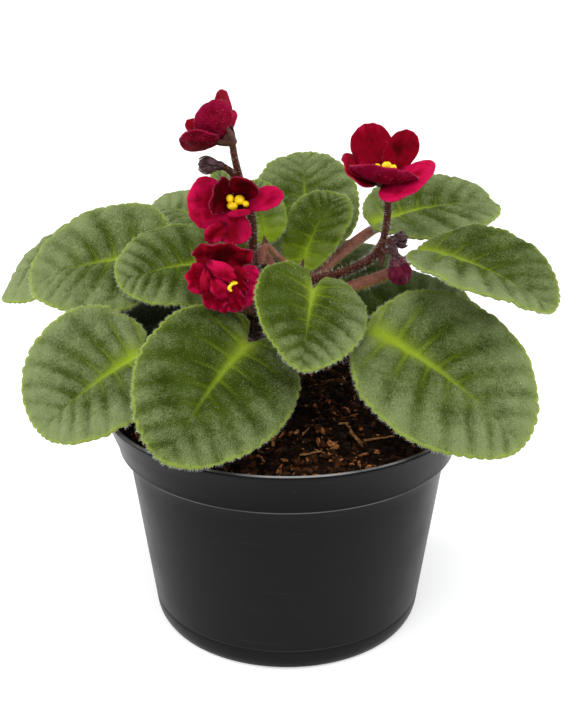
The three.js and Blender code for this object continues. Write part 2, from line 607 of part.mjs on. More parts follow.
// A petal: a thin sheet from the throat to its tip, cupped across and arched along
function petal(flower, { tip, width, cup, arch, curl, ruffle = 0, face = flower.face, isSmall = false }) {
  const mouth = new THREE.Vector3(...flower.face).normalize();
  const throat = new THREE.Vector3(...flower.throat);
  const reach = new THREE.Vector3(...tip).sub(throat);
  const flat = reach.clone().addScaledVector(mouth, -reach.dot(mouth)).normalize();
  const root = throat.clone()
    .addScaledVector(flat, PETAL_ROOT * THROAT_RADIUS)
    .addScaledVector(mouth, -PETAL_SINK);
  const way = new THREE.Vector3(...tip).sub(root);
  const length = way.length();
  way.normalize();
  const across = new THREE.Vector3(...face).cross(way).normalize();
  const normal = way.clone().cross(across);
  const centre = PETAL_WIDEST * length;
  const edgePoints = isSmall ? 12 : 16;
  const rings = [[edgePoints, 1], [edgePoints / 2, PETAL_INNER_RING]].map(([count, share]) => {
    const ring = [];
    for (let k = 0; k < count; k += 1) {
      const turn = -Math.PI + (k / count) * 2 * Math.PI;
      const back = Math.max(-Math.cos(turn), 0);
      const reachOut = back > 0 ? centre : length - centre;
      const side = 0.5 * width * Math.sin(turn) * (1 - PETAL_NARROWING * back);
      ring.push([centre + share * reachOut * Math.cos(turn), share * side]);
    }
    return ring;
  });
  rings.push([[centre, 0]]);
  return solidOf(sheet(rings, PETAL, (a, b) => {
    const t = a / length;
    const turn = Math.atan2(b / width, t - PETAL_WIDEST);
    const out = Math.min(Math.hypot((2 * b) / width, (t - PETAL_WIDEST) / (1 - PETAL_WIDEST)), 1);
    const wave = ruffle * out ** 3 * Math.sin(RUFFLES * turn);
    const forward = arch * 4 * t * (1 - t) + cup * ((2 * b) / width) ** 2 + curl * t ** 4 + wave;
    return root.clone().addScaledVector(way, a).addScaledVector(across, b).addScaledVector(normal, forward);
  }));
}

// A shape modelled about +Z, turned to face a way and moved to a point
function aimed(geometry, way, at) {
  const turn = new THREE.Quaternion().setFromUnitVectors(
    new THREE.Vector3(0, 0, 1), new THREE.Vector3(...way).normalize());
  return geometry.applyQuaternion(turn).translate(...at);
}

// A corolla: its petals joined round a short open tube
function corolla(flower) {
  const tube = turned([
    [0, -THROAT_DEPTH], [0.6 * THROAT_RADIUS, -THROAT_DEPTH], [THROAT_RADIUS, -PETAL_SINK],
    [THROAT_RADIUS, GAP], [THROAT_RADIUS - TUBE_WALL, GAP], [0, -THROAT_DEPTH + TUBE_WALL],
  ], TUBE_SIDES);
  const parts = flower.petals.map((one) => petal(flower, one));
  parts.push(solidOf(aimed(tube, flower.face, flower.throat)));
  return geometryOf(joined(parts));
}

// The double flower has one small anther on a bent filament
function bentAnther(flower) {
  const filament = [[0, 0, FILAMENT_FOOT], [0, 0, 3], [1.6, -1, 5.2], [3, -1.3, 6.4], [3.4, 0.2, 7]];
  const thickness = [1, 1, 1.1, 2, 1.3].map((share) => share * FILAMENT_RADIUS);
  const upright = stem(filament, thickness, 6, 8);
  return aimed(upright, flower.face, flower.throat);
}

// Two anthers of two lobes each, on a filament that stands on the floor of the tube
function anthers(flower) {
  const parts = [];
  for (const side of [-1, 1]) {
    for (const end of [-1, 1]) {
      const lobe = new THREE.SphereGeometry(0.5, 6, 4);
      lobe.scale(ANTHER_WIDTH, ANTHER_LENGTH, ANTHER_WIDTH);
      lobe.rotateZ(side * 0.35).translate(side * 1.25, end * 0.95, ANTHER_HEIGHT + GAP * end * side);
      parts.push(solidOf(lobe));
    }
  }
  const height = ANTHER_HEIGHT - FILAMENT_FOOT;
  const filament = new THREE.CylinderGeometry(FILAMENT_RADIUS, FILAMENT_RADIUS, height, 5);
  filament.rotateX(Math.PI / 2).translate(0, 0, FILAMENT_FOOT + height / 2);
  parts.push(solidOf(filament));
  return aimed(geometryOf(joined(parts)), flower.face, flower.throat);
}

// A closed bud: an egg with folds along it
function bud({ way, root, length, width, folds, depth }) {
  const sides = 3 * folds;
  const rows = 6;
  const corners = [new THREE.Vector3(0, 0, 0)];
  for (let r = 1; r < rows; r += 1) {
    const t = r / rows;
    const swell = Math.sin(Math.PI * t ** 1.35) ** 0.8;
    for (let k = 0; k < sides; k += 1) {
      const angle = (k / sides) * 2 * Math.PI;
      const radius = 0.5 * width * swell * (1 + depth * Math.cos(folds * angle)) / (1 + depth);
      corners.push(new THREE.Vector3(radius * Math.cos(angle), radius * Math.sin(angle), t * length));
    }
  }
  const end = corners.push(new THREE.Vector3(0, 0, length)) - 1;
  const faces = [];
  for (let k = 0; k < sides; k += 1) {
    const next = (k + 1) % sides;
    faces.push(0, 1 + next, 1 + k);
    for (let r = 0; r + 2 < rows; r += 1) {
      const a = 1 + r * sides;
      const b = a + sides;
      faces.push(a + k, a + next, b + next, a + k, b + next, b + k);
    }
    const top = 1 + (rows - 2) * sides;
    faces.push(end, top + k, top + next);
  }
  return aimed(facing(corners, faces), way, root);
}

// The stem with its petioles, and a thicker copy that soil and flower stalks are cut clear of
function neck(extra) {
  return solidOf(stem(NECK, NECK_RADII.map((r) => r + extra), NECK_SIDES, NECK_STEPS));
}

function hookBud(extra) {
  return solidOf(stem(HOOK_BUD, HOOK_BUD_RADII.map((r) => r + extra), STALK_SIDES, 10));
}

function crown(extra) {
  return joined([neck(extra), ...Object.values(LEAVES).map((leaf) => petiole(leaf, extra)), hookBud(extra)]);
}

const aroundCrown = crown(HOLE_CLEARANCE);

place('pot', potWall(), 'pot');
place('soil', soilPlug(neck(HOLE_CLEARANCE)), 'soil');
place('crown_and_petioles', geometryOf(mainBody(crown(0))), 'stem');

for (const [name, leaf] of Object.entries(LEAVES)) {
  place(name, leafBlade(leaf), 'leaf');
}
for (const [name, stalk] of Object.entries(STALKS)) {
  place(name, geometryOf(flowerStalk(stalk, aroundCrown)), 'stem');
}
for (const [name, flower] of Object.entries(FLOWERS)) {
  place(`${name}_petals`, corolla(flower), 'petal');
  place(`${name}_anthers`, flower.isDouble ? bentAnther(flower) : anthers(flower), 'anther');
}
for (const [name, one] of Object.entries(BUDS)) {
  place(name, bud(one), 'bud');
}

export default plant;
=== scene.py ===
import math

import bpy
import numpy as np
from mathutils import Matrix, Vector, noise


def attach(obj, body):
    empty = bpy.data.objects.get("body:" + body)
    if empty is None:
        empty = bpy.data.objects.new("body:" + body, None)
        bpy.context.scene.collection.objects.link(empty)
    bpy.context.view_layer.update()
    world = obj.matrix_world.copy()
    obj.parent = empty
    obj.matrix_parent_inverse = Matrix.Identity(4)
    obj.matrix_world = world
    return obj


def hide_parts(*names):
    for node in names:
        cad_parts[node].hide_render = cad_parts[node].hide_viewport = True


# Potted African violet in a shallow black plastic pot. Sizes are in millimetres and MM turns them
# into metres, +Z is up, the origin is the middle of the pot's underside, the viewer's side is -Y.
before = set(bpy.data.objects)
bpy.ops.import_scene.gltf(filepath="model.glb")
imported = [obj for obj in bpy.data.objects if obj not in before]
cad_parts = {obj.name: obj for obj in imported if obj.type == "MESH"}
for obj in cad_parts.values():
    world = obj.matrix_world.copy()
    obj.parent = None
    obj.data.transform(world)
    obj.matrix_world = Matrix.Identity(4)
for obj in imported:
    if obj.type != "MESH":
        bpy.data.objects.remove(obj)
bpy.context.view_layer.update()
scene = bpy.context.scene
MM = 0.001

# The studio: a white glowing tabletop that runs back out of view, and soft light from a wide
# skylight, two tall soft boxes at the sides and pale walls. The camera looks down a little.
IMAGE_HEIGHT = 704
FOCAL_LENGTH_IN_PIXELS = 1275
PLANT_RIGHT_OF_CENTRE = 4.5
CAMERA_PLACE = (0, -0.3835, 0.2415)
LOOKING_DOWN = 21.46
SENSOR = 36
FLOOR_SIZE = 9
FLOOR_UNDER_POT = 0.0001
FLOOR_WHITE = (0.8, 0.8, 0.8, 1)
FLOOR_GLOW = 0.31
WALL_WHITE = (0.97, 0.98, 1, 1)
WALL_STRENGTH = 0.52
SKYLIGHT = 2.3
SKYLIGHT_SPREAD = 70
SKYLIGHT_TILT = (28, -7, 0)
SOFT_BOXES = {"lamp_left": (-0.95, 0.1, 0.5), "lamp_right": (1.0, 0.1, 0.5)}
SOFT_BOX_SIZE = (0.45, 0.9)
SOFT_BOX_POWER = 7
SOFT_BOX_AIM = (0, 0, 0.08)


def select_only(*pieces):
    """Selects these pieces alone, or nothing, and makes the first of them the active one."""
    for other in bpy.context.selected_objects:
        other.select_set(False)
    for piece in pieces:
        piece.select_set(True)
        bpy.context.view_layer.objects.active = pieces[0]


def new_finish(name, **sockets):
    """A material and its node tree, with plain values set on its shader."""
    finish = bpy.data.materials.new(name)
    finish.use_nodes = True
    for key, value in sockets.items():
        finish.node_tree.nodes["Principled BSDF"].inputs[key.replace("_", " ")].default_value = value
    return finish, finish.node_tree


select_only()
bpy.ops.object.camera_add(location=CAMERA_PLACE, rotation=(math.radians(90 - LOOKING_DOWN), 0, 0))
camera = bpy.context.object
camera.name = "camera"
camera.data.sensor_width = SENSOR
camera.data.lens = SENSOR * FOCAL_LENGTH_IN_PIXELS / IMAGE_HEIGHT
camera.data.shift_x = -PLANT_RIGHT_OF_CENTRE / IMAGE_HEIGHT
camera.data.clip_start = 0.01
scene.camera = camera
scene.view_settings.view_transform = "Standard"

bpy.ops.mesh.primitive_plane_add(size=FLOOR_SIZE, location=(0, FLOOR_SIZE / 4, -FLOOR_UNDER_POT))
tabletop = bpy.context.object
tabletop.name = "tabletop"
paper, _ = new_finish(
    "white_paper", Base_Color=FLOOR_WHITE, Roughness=0.9, Emission_Color=(1, 1, 1, 1),
    Emission_Strength=FLOOR_GLOW)
tabletop.data.materials.append(paper)

for name, place in SOFT_BOXES.items():
    way = Vector(SOFT_BOX_AIM) - Vector(place)
    bpy.ops.object.light_add(type="AREA", location=place, rotation=way.to_track_quat("-Z", "Y").to_euler())
    lamp = bpy.context.object
    lamp.name = name
    lamp.data.shape = "RECTANGLE"
    lamp.data.size, lamp.data.size_y = SOFT_BOX_SIZE
    lamp.data.energy = SOFT_BOX_POWER
bpy.ops.object.light_add(type="SUN", rotation=[math.radians(angle) for angle in SKYLIGHT_TILT])
skylight = bpy.context.object
skylight.name = "skylight"
skylight.data.energy = SKYLIGHT
skylight.data.angle = math.radians(SKYLIGHT_SPREAD)

walls = bpy.data.worlds.new("pale_walls")
walls.use_nodes = True
walls.node_tree.nodes["Background"].inputs["Color"].default_value = WALL_WHITE
walls.node_tree.nodes["Background"].inputs["Strength"].default_value = WALL_STRENGTH
scene.world = walls

# The pot: one thin moulded black plastic pot with a flared band at the rim, a step under the band,
# a rounded foot and six drain holes in its flat underside. The mould left fine lines that run
# round it and a parting line at the foot, and handling left faint scratches.
POT_SEGMENTS = 144
RIM_RADIUS = 60
POT_HEIGHT = 76
BAND_FOOT_RADIUS = 55.3
BAND_FOOT_HEIGHT = 62.4
STEP_UNDER_BAND = 2.8
FOOT_RADIUS = 45.2
FOOT_HEIGHT = 7
UNDERSIDE_RADIUS = 42.6
WALL = 1.6
FLOOR = 2.2
LIP = 0.9
WALL_RINGS = 10
DRAIN_HOLES = 6
DRAIN_RADIUS = 4
DRAIN_RING_RADIUS = 27
# The band's colour: painted darker than the wall, as painted shade.
POT_BAND_SHADED = (0.0016, 0.0016, 0.0018, 1)
POT_WALL = (0.0065, 0.0065, 0.0068, 1)
POT_SCUFFED = (0.018, 0.018, 0.0185, 1)
POT_PALE_LINE = (0.16, 0.16, 0.16, 1)
# A painted highlight along the lip.
POT_LIP_HIGHLIGHT = (0.3, 0.3, 0.3, 1)
BAND_EDGE = BAND_FOOT_HEIGHT - 0.7
FOOT_EDGE = FOOT_HEIGHT + 0.3
STEP_RADIUS = BAND_FOOT_RADIUS - STEP_UNDER_BAND


def pot_profile():
    """Rings of the pot as radius and height, from the underside up the outside and down inside."""
    rings = [
        (UNDERSIDE_RADIUS, 0), (UNDERSIDE_RADIUS + 0.7, 0.25), (43.8, 1), (44.35, 2.1), (44.7, 3.4),
        (FOOT_RADIUS - 0.2, 5.4), (FOOT_RADIUS - 0.12, 6.8), (FOOT_RADIUS - 0.2, FOOT_HEIGHT),
        (FOOT_RADIUS - 0.15, FOOT_HEIGHT + 0.3), (FOOT_RADIUS + 0.05, FOOT_HEIGHT + 0.5),
    ]
    top = (STEP_RADIUS - 0.05, BAND_EDGE - 0.9)
    start = rings[-1]
    for i in range(1, WALL_RINGS + 1):
        share = i / WALL_RINGS
        rings.append((start[0] + (top[0] - start[0]) * share, start[1] + (top[1] - start[1]) * share))
    rings += [
        (STEP_RADIUS + 0.25, BAND_EDGE - 0.35), (STEP_RADIUS + 0.9, BAND_EDGE - 0.1),
        (BAND_FOOT_RADIUS - 0.9, BAND_EDGE - 0.2), (BAND_FOOT_RADIUS - 0.35, BAND_EDGE - 0.25),
        (BAND_FOOT_RADIUS - 0.05, BAND_EDGE), (BAND_FOOT_RADIUS, BAND_EDGE + 0.35),
        (BAND_FOOT_RADIUS + 0.35, BAND_FOOT_HEIGHT + 1.4),
        (57.6, 69), (RIM_RADIUS - 0.55, POT_HEIGHT - 1.8), (RIM_RADIUS - 0.1, POT_HEIGHT - 1),
        (RIM_RADIUS, POT_HEIGHT - 0.55), (RIM_RADIUS - 0.2, POT_HEIGHT - 0.15),
        (RIM_RADIUS - 0.6, POT_HEIGHT), (RIM_RADIUS - 1.1, POT_HEIGHT - 0.05),
        (RIM_RADIUS - WALL, POT_HEIGHT - LIP / 2), (BAND_FOOT_RADIUS - WALL, BAND_FOOT_HEIGHT + WALL / 2),
        (STEP_RADIUS - WALL, BAND_FOOT_HEIGHT - WALL), (FOOT_RADIUS - WALL, FOOT_HEIGHT),
        (UNDERSIDE_RADIUS - WALL / 2, FLOOR + 0.6), (UNDERSIDE_RADIUS - 2, FLOOR), (6, FLOOR),
    ]
    return rings


def turned_form(name, rings, segments):
    """A closed round form: a disc pulled up ring by ring, each ring a radius and a height."""
    select_only()
    radius, height = rings[0]
    bpy.ops.mesh.primitive_circle_add(
        vertices=segments, radius=radius * MM, fill_type="NGON", location=(0, 0, height * MM))
    form = bpy.context.object
    form.name = name
    bpy.ops.object.transform_apply()
    bpy.ops.object.mode_set(mode="EDIT")
    bpy.ops.mesh.select_all(action="SELECT")
    for next_radius, next_height in rings[1:]:
        bpy.ops.mesh.extrude_region_move(
            TRANSFORM_OT_translate={"value": (0, 0, (next_height - height) * MM)})
        scale = next_radius / radius
        bpy.ops.transform.resize(value=(scale, scale, 1), center_override=(0, 0, next_height * MM))
        radius, height = next_radius, next_height
    bpy.ops.mesh.select_all(action="SELECT")
    bpy.ops.mesh.normals_make_consistent(inside=False)
    bpy.ops.object.mode_set(mode="OBJECT")
    return form


def apply_modifiers(piece):
    """Applies all of a piece's modifiers, in order."""
    select_only(piece)
    for modifier in list(piece.modifiers):
        bpy.ops.object.modifier_apply(modifier=modifier.name)


def smooth(piece, angle=180):
    """Smooth shading, with edges sharper than the angle kept crisp."""
    select_only(piece)
    if angle < 180:
        bpy.ops.object.shade_smooth_by_angle(angle=math.radians(angle))
    else:
        bpy.ops.object.shade_smooth()


def set_node(tree, kind, inputs=None, **settings):
    """A shader node with its settings; each input is a number, a colour or another node's output."""
    node = tree.nodes.new(kind)
    for key, value in settings.items():
        setattr(node, key, value)
    for key, value in (inputs or {}).items():
        if isinstance(value, bpy.types.NodeSocket):
            tree.links.new(value, node.inputs[key])
        else:
            node.inputs[key].default_value = value
    return node


def mixed(tree, share, first, second):
    """A colour between two colours."""
    node = set_node(tree, "ShaderNodeMix", {0: share, 6: first, 7: second}, data_type="RGBA")
    return node.outputs[2]


def ramp(tree, value, low, high, first=0.0, second=1.0):
    """A value that rises smoothly from first to second while the input goes from low to high."""
    inputs = {"Value": value, "From Min": low, "From Max": high, "To Min": first, "To Max": second}
    return set_node(tree, "ShaderNodeMapRange", inputs, interpolation_type="SMOOTHSTEP").outputs[0]


def maths(tree, operation, first, second=0.0):
    """The outcome of one sum on one or two values."""
    return set_node(tree, "ShaderNodeMath", {0: first, 1: second}, operation=operation).outputs[0]


def times(tree, first, second):
    return maths(tree, "MULTIPLY", first, second)


def plus(tree, total, *others):
    """Values added up, one after the other."""
    for other in others:
        total = maths(tree, "ADD", total, other)
    return total


def split(tree, vector):
    """The three numbers of a vector."""
    return set_node(tree, "ShaderNodeSeparateXYZ", {0: vector}).outputs


def stretched(tree, vector, scale):
    """A place multiplied by a scale along each axis."""
    return set_node(tree, "ShaderNodeMapping", {"Vector": vector, "Scale": scale}).outputs[0]


def cloud(tree, vector, scale, detail=3.0, roughness=0.5):
    """Soft random patches; scale is in patches per unit of the vector."""
    inputs = {"Vector": vector, "Scale": scale, "Detail": detail, "Roughness": roughness}
    return set_node(tree, "ShaderNodeTexNoise", inputs).outputs[0]


def painted(tree, colour, relief, strength, distance):
    """Links a finish's colour and its relief, whose height is a distance in millimetres."""
    shader = tree.nodes["Principled BSDF"]
    tree.links.new(colour, shader.inputs["Base Color"])
    inputs = {"Height": relief, "Strength": strength, "Distance": distance * MM}
    tree.links.new(set_node(tree, "ShaderNodeBump", inputs).outputs[0], shader.inputs["Normal"])


def place_of(tree):
    """The place on the object, in metres."""
    return set_node(tree, "ShaderNodeTexCoord").outputs["Object"]


def finished(piece, material_slot, *nodes):
    """The piece rides with the pot and stands for its nodes, which it hides; material_slot is not used."""
    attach(piece, "root")
    if nodes:
        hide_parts(*nodes)


def thin_line(tree, value, at, half_width):
    """One on a thin line where the value is at a number, and nothing beside it."""
    away = maths(tree, "ABSOLUTE", maths(tree, "SUBTRACT", value, at))
    return ramp(tree, away, half_width, 0.3 * half_width)


def pot_plastic():
    """Satin black plastic: mould lines, scratches, dust, pale thin lines at the band's edge and the foot, a
    painted highlight on the lip, and the band painted darker, as painted shade.
    """
    finish, tree = new_finish("black_pot_plastic", IOR=1.5, Specular_IOR_Level=0.075)
    place = place_of(tree)
    height = split(tree, place)[2]
    lines = cloud(tree, stretched(tree, place, (6, 6, 2600)), 1, 2)
    bands = cloud(tree, stretched(tree, place, (3, 3, 260)), 1, 2)
    blotches = cloud(tree, place, 45, 4)
    scratches = cloud(tree, stretched(tree, place, (50, 50, 1500)), 1, 3)
    dust = cloud(tree, place, 1800, 1)
    scuffed = maths(tree, "MAXIMUM", ramp(tree, scratches, 0.64, 0.78, 0, 0.7), ramp(tree, dust, 0.74, 0.78))
    # The band is painted darker than the wall below it: painted shade.
    band = ramp(tree, height, (BAND_EDGE - 1) * MM, BAND_EDGE * MM)
    base = mixed(tree, scuffed, mixed(tree, band, POT_WALL, POT_BAND_SHADED), POT_SCUFFED)
    # Pale thin lines at the band's lower edge and at the foot's parting line, in patches.
    parting_line = times(tree, thin_line(tree, height, FOOT_EDGE * MM, 0.26 * MM), 0.3)
    pale_lines = maths(tree, "MAXIMUM", thin_line(tree, height, (BAND_EDGE + 0.1) * MM, 0.3 * MM), parting_line)
    base = mixed(tree, times(tree, pale_lines, ramp(tree, blotches, 0.3, 0.6, 0.3, 0.6)), base, POT_PALE_LINE)
    # A painted highlight along the lip, broken into patches.
    lip = thin_line(tree, height, POT_HEIGHT * MM, 0.32 * MM)
    base = mixed(tree, times(tree, lip, ramp(tree, blotches, 0.35, 0.6, 0.15, 0.8)), base, POT_LIP_HIGHLIGHT)
    sheen = plus(tree, ramp(tree, blotches, 0.3, 0.7, 0.26, 0.36), times(tree, bands, 0.06))
    tree.links.new(sheen, tree.nodes["Principled BSDF"].inputs["Roughness"])
    painted(tree, base, plus(tree, lines, times(tree, blotches, 0.8)), 0.22, 0.12)
    return finish


pot = turned_form("pot_moulded", pot_profile(), POT_SEGMENTS)
select_only()
for i in range(DRAIN_HOLES):
    turn = (i + 0.5) / DRAIN_HOLES * 2 * math.pi
    hole_place = (DRAIN_RING_RADIUS * math.cos(turn), DRAIN_RING_RADIUS * math.sin(turn), FLOOR / 2)
    bpy.ops.mesh.primitive_cylinder_add(
        vertices=32, radius=DRAIN_RADIUS * MM, depth=4 * FLOOR * MM,
        location=[part * MM for part in hole_place])
    drill = bpy.context.object
    cut = pot.modifiers.new("drain_hole", "BOOLEAN")
    cut.operation = "DIFFERENCE"
    cut.solver = "EXACT"
    cut.object = drill
    apply_modifiers(pot)
    bpy.data.objects.remove(drill)
smooth(pot, 35)
pot.data.materials.append(pot_plastic())
finished(pot, "pot", "pot")

# The soil: dark peaty potting mix pressed into the pot to a few millimetres under its rim, with
# chips of orange-brown bark, pale splinters, round dark crumbs and specks of white perlite.
SOIL_TOP = 67.5
SOIL_GAP = 0.3
SOIL_CELLS = 96
SOIL_INSET = WALL + 0.72
SOIL_LOW_RINGS = [
    (BAND_FOOT_RADIUS - SOIL_INSET, BAND_FOOT_HEIGHT + 1.1),
    (STEP_RADIUS - SOIL_INSET, BAND_FOOT_HEIGHT - WALL), (FOOT_RADIUS - SOIL_INSET, FOOT_HEIGHT),
    (UNDERSIDE_RADIUS - WALL / 2 - 0.6, FLOOR + SOIL_GAP),
]
SOIL_RADIUS = 55.2
BARK_CHIPS = 480
CRUMBS = 1500
CLODS = 26
FRESH_CHIPS = 330
SPLINTERS = 85
PERLITE = 30
BARE_ROUND_CROWN = 9
rng = np.random.default_rng(7)


def soil_height(x, y):
    """Height of the lumpy soil surface over a place in the pot."""
    swell = math.sin(x * 0.31 + 1.3) * math.cos(y * 0.27) + 0.6 * math.sin(x * 0.55 - y * 0.47)
    lumps = noise.noise(Vector((x * 0.22, y * 0.22, 3))) * 1.5
    clods = noise.noise(Vector((x * 0.6, y * 0.6, 9))) * 0.9
    grit = noise.noise(Vector((x * 1.7, y * 1.7, 5))) * 0.45
    return SOIL_TOP + 0.5 * swell + lumps + clods + grit


def disc_piece(name, cells):
    """A flat round grid, and for each of its corners the share of the radius and the angle."""
    select_only()
    bpy.ops.mesh.primitive_grid_add(x_subdivisions=cells, y_subdivisions=cells, size=2)
    piece = bpy.context.object
    piece.name = name
    x, y, _ = corners_of(piece).T
    wide = np.abs(x) >= np.abs(y)
    share = np.where(wide, np.abs(x), np.abs(y))
    safe = np.maximum(share, 1e-9)
    turn = np.where(
        wide,
        np.where(x >= 0, 0, math.pi) + math.pi / 4 * y / np.where(x == 0, safe, x),
        np.where(y >= 0, math.pi / 2, -math.pi / 2) - math.pi / 4 * x / np.where(y == 0, safe, y))
    return piece, share, turn


def corners_of(piece):
    """A piece's corners in metres."""
    corners = np.zeros(len(piece.data.vertices) * 3)
    piece.data.vertices.foreach_get("co", corners)
    return corners.reshape(-1, 3)


def move_corners(piece, corners):
    """Moves a piece's corners to places in millimetres."""
    piece.data.vertices.foreach_set("co", np.ravel(corners * MM))
    piece.data.update()


def patchy(name, first, second, patches=(500, 4, 0.6), edges=(0.35, 0.7), grain=(2200, 3), bump=(0.4, 0.25),
           **sockets):
    """A finish of two colours in soft patches, over the relief of a fine grain."""
    finish, tree = new_finish(name, **sockets)
    place = place_of(tree)
    colour = mixed(tree, ramp(tree, cloud(tree, place, *patches), *edges), first, second)
    painted(tree, colour, cloud(tree, place, *grain), *bump)
    return finish


def earthy(name, dark, light, scale, roughness=0.95):
    return patchy(name, dark, light, (scale, 4, 0.65), (0.35, 0.68), (2600, 3, 0.6), (0.6, 0.35),
                  Roughness=roughness, Specular_IOR_Level=0.05)


soil, share, turn = disc_piece("soil_packed", SOIL_CELLS)
ground = np.stack([SOIL_RADIUS * share * np.cos(turn), SOIL_RADIUS * share * np.sin(turn)], axis=1)
move_corners(soil, np.column_stack([ground, [soil_height(x, y) for x, y in ground]]))
bpy.ops.object.mode_set(mode="EDIT")
bpy.ops.mesh.select_all(action="DESELECT")
bpy.ops.mesh.select_mode(type="EDGE")
bpy.ops.mesh.select_non_manifold()
ring_radius, ring_height = SOIL_RADIUS, SOIL_TOP
for next_radius, next_height in SOIL_LOW_RINGS:
    drop = (0, 0, (next_height - ring_height) * MM)
    bpy.ops.mesh.extrude_region_move(TRANSFORM_OT_translate={"value": drop})
    squeeze = next_radius / ring_radius
    flatten = 0 if ring_height == SOIL_TOP else 1
    bpy.ops.transform.resize(value=(squeeze, squeeze, flatten), center_override=(0, 0, next_height * MM))
    ring_radius, ring_height = next_radius, next_height
bpy.ops.mesh.edge_face_add()
bpy.ops.mesh.select_all(action="SELECT")
bpy.ops.mesh.normals_make_consistent(inside=False)
bpy.ops.object.mode_set(mode="OBJECT")
smooth(soil, 60)
soil.data.materials.append(earthy("dark_peat", (0.003, 0.0015, 0.0008, 1), (0.02, 0.009, 0.004, 1), 520))
finished(soil, "soil", "soil")


def made_mesh(name, corners, faces, finish):
    """A mesh object from corners in millimetres and faces."""
    mesh = bpy.data.meshes.new(name)
    mesh.from_pydata((np.asarray(corners) * MM).tolist(), [], faces)
    mesh.materials.append(finish)
    mesh.update()
    piece = bpy.data.objects.new(name, mesh)
    scene.collection.objects.link(piece)
    return piece


def lump(roundness, stretch, seed):
    """One irregular grain as corners and faces: a small ball or block, pushed in and out."""
    select_only()
    if roundness > 0:
        bpy.ops.mesh.primitive_ico_sphere_add(subdivisions=roundness, radius=0.5)
    else:
        bpy.ops.mesh.primitive_cube_add(size=0.9)
        bpy.ops.object.mode_set(mode="EDIT")
        bpy.ops.mesh.bevel(offset=0.14, segments=1)
        bpy.ops.object.mode_set(mode="OBJECT")
    grain = bpy.context.object
    corners = corners_of(grain)
    shifts = [noise.noise_vector(Vector(corner * 1.7) + Vector((seed, 0, 0))) for corner in corners]
    corners = (corners + 0.32 * np.array(shifts)) * stretch
    faces = [list(face.vertices) for face in grain.data.polygons]
    bpy.data.objects.remove(grain)
    return corners, faces


def strewn(name, grains, count, sizes, sunk, tilt, finish):
    """Copies of a few grains laid on the soil at random, as one mesh; sizes is a range."""
    all_corners, all_faces, start = [], [], 0
    outer = SOIL_RADIUS - 0.75 * sizes[1]
    for _ in range(count):
        corners, faces = grains[rng.integers(len(grains))]
        distance = math.sqrt(rng.uniform(BARE_ROUND_CROWN**2, outer**2))
        around = rng.uniform(0, 2 * math.pi)
        x, y = distance * math.cos(around), distance * math.sin(around)
        size = rng.uniform(sizes[0], sizes[1]) * rng.uniform(0.55, 1)
        spin = Matrix.Rotation(rng.uniform(0, 2 * math.pi), 3, "Z")
        lean = Matrix.Rotation(rng.normal(0, tilt), 3, "X") @ Matrix.Rotation(rng.normal(0, tilt), 3, "Y")
        moved = corners * size @ np.array(spin @ lean).T
        lift = soil_height(x, y) - np.min(moved[:, 2]) - sunk * np.ptp(moved[:, 2])
        all_corners.append(moved + [x, y, lift])
        all_faces.extend([index + start for index in face] for face in faces)
        start += len(corners)
    finished(made_mesh(name, np.concatenate(all_corners), all_faces, finish), "soil")


chips = [lump(0, (1, 0.6, 0.3), seed) for seed in range(4)]
crumbs = [lump(1, (1, 0.9, 0.75), seed) for seed in range(4)]
clods = [lump(3, (1, 0.9, 0.7), seed) for seed in range(4)]
shreds = [lump(0, (1, 0.42, 0.2), seed) for seed in range(5)]
slivers = [lump(0, (1, 0.12, 0.06), seed) for seed in range(3)]
fresh_bark = earthy("orange_bark", (0.08, 0.022, 0.006, 1), (0.62, 0.24, 0.08, 1), 1100, 0.7)
old_bark = earthy("brown_bark", (0.01, 0.004, 0.002, 1), (0.1, 0.036, 0.013, 1), 700, 0.8)
peat_crumb = earthy("peat_crumb", (0.004, 0.002, 0.001, 1), (0.032, 0.014, 0.007, 1), 500, 0.6)
pale_wood = earthy("pale_splinter", (0.16, 0.055, 0.017, 1), (0.5, 0.26, 0.11, 1), 900, 0.7)
white_grain = earthy("white_perlite", (0.55, 0.5, 0.44, 1), (0.85, 0.82, 0.76, 1), 900, 0.8)
strewn("soil_clods", clods, CLODS, (4, 9), 0.6, 0.4, peat_crumb)
strewn("soil_crumbs", crumbs, CRUMBS, (0.9, 3.6), 0.4, 0.6, peat_crumb)
strewn("soil_old_bark", chips, BARK_CHIPS, (1.5, 6), 0.4, 0.5, old_bark)
strewn("soil_fresh_bark", shreds, FRESH_CHIPS, (0.8, 4.6), 0.2, 0.7, fresh_bark)
strewn("soil_splinters", slivers, SPLINTERS, (2.5, 11), 0.1, 0.35, pale_wood)
strewn("soil_perlite", crumbs, PERLITE, (0.5, 1.1), 0.3, 0.6, white_grain)

# The rosette: eighteen leaves round a short stem, the young ones in the middle, the old ones low
# and outside. How each one lies is set out here, because its stalk and its blade both follow it.
BLADE = 0.8
LOBE = 0.16
WIDEST = 0.36
POINTED = 0.12
NOTCH = 0.065
BASE_FULLNESS = 0.06
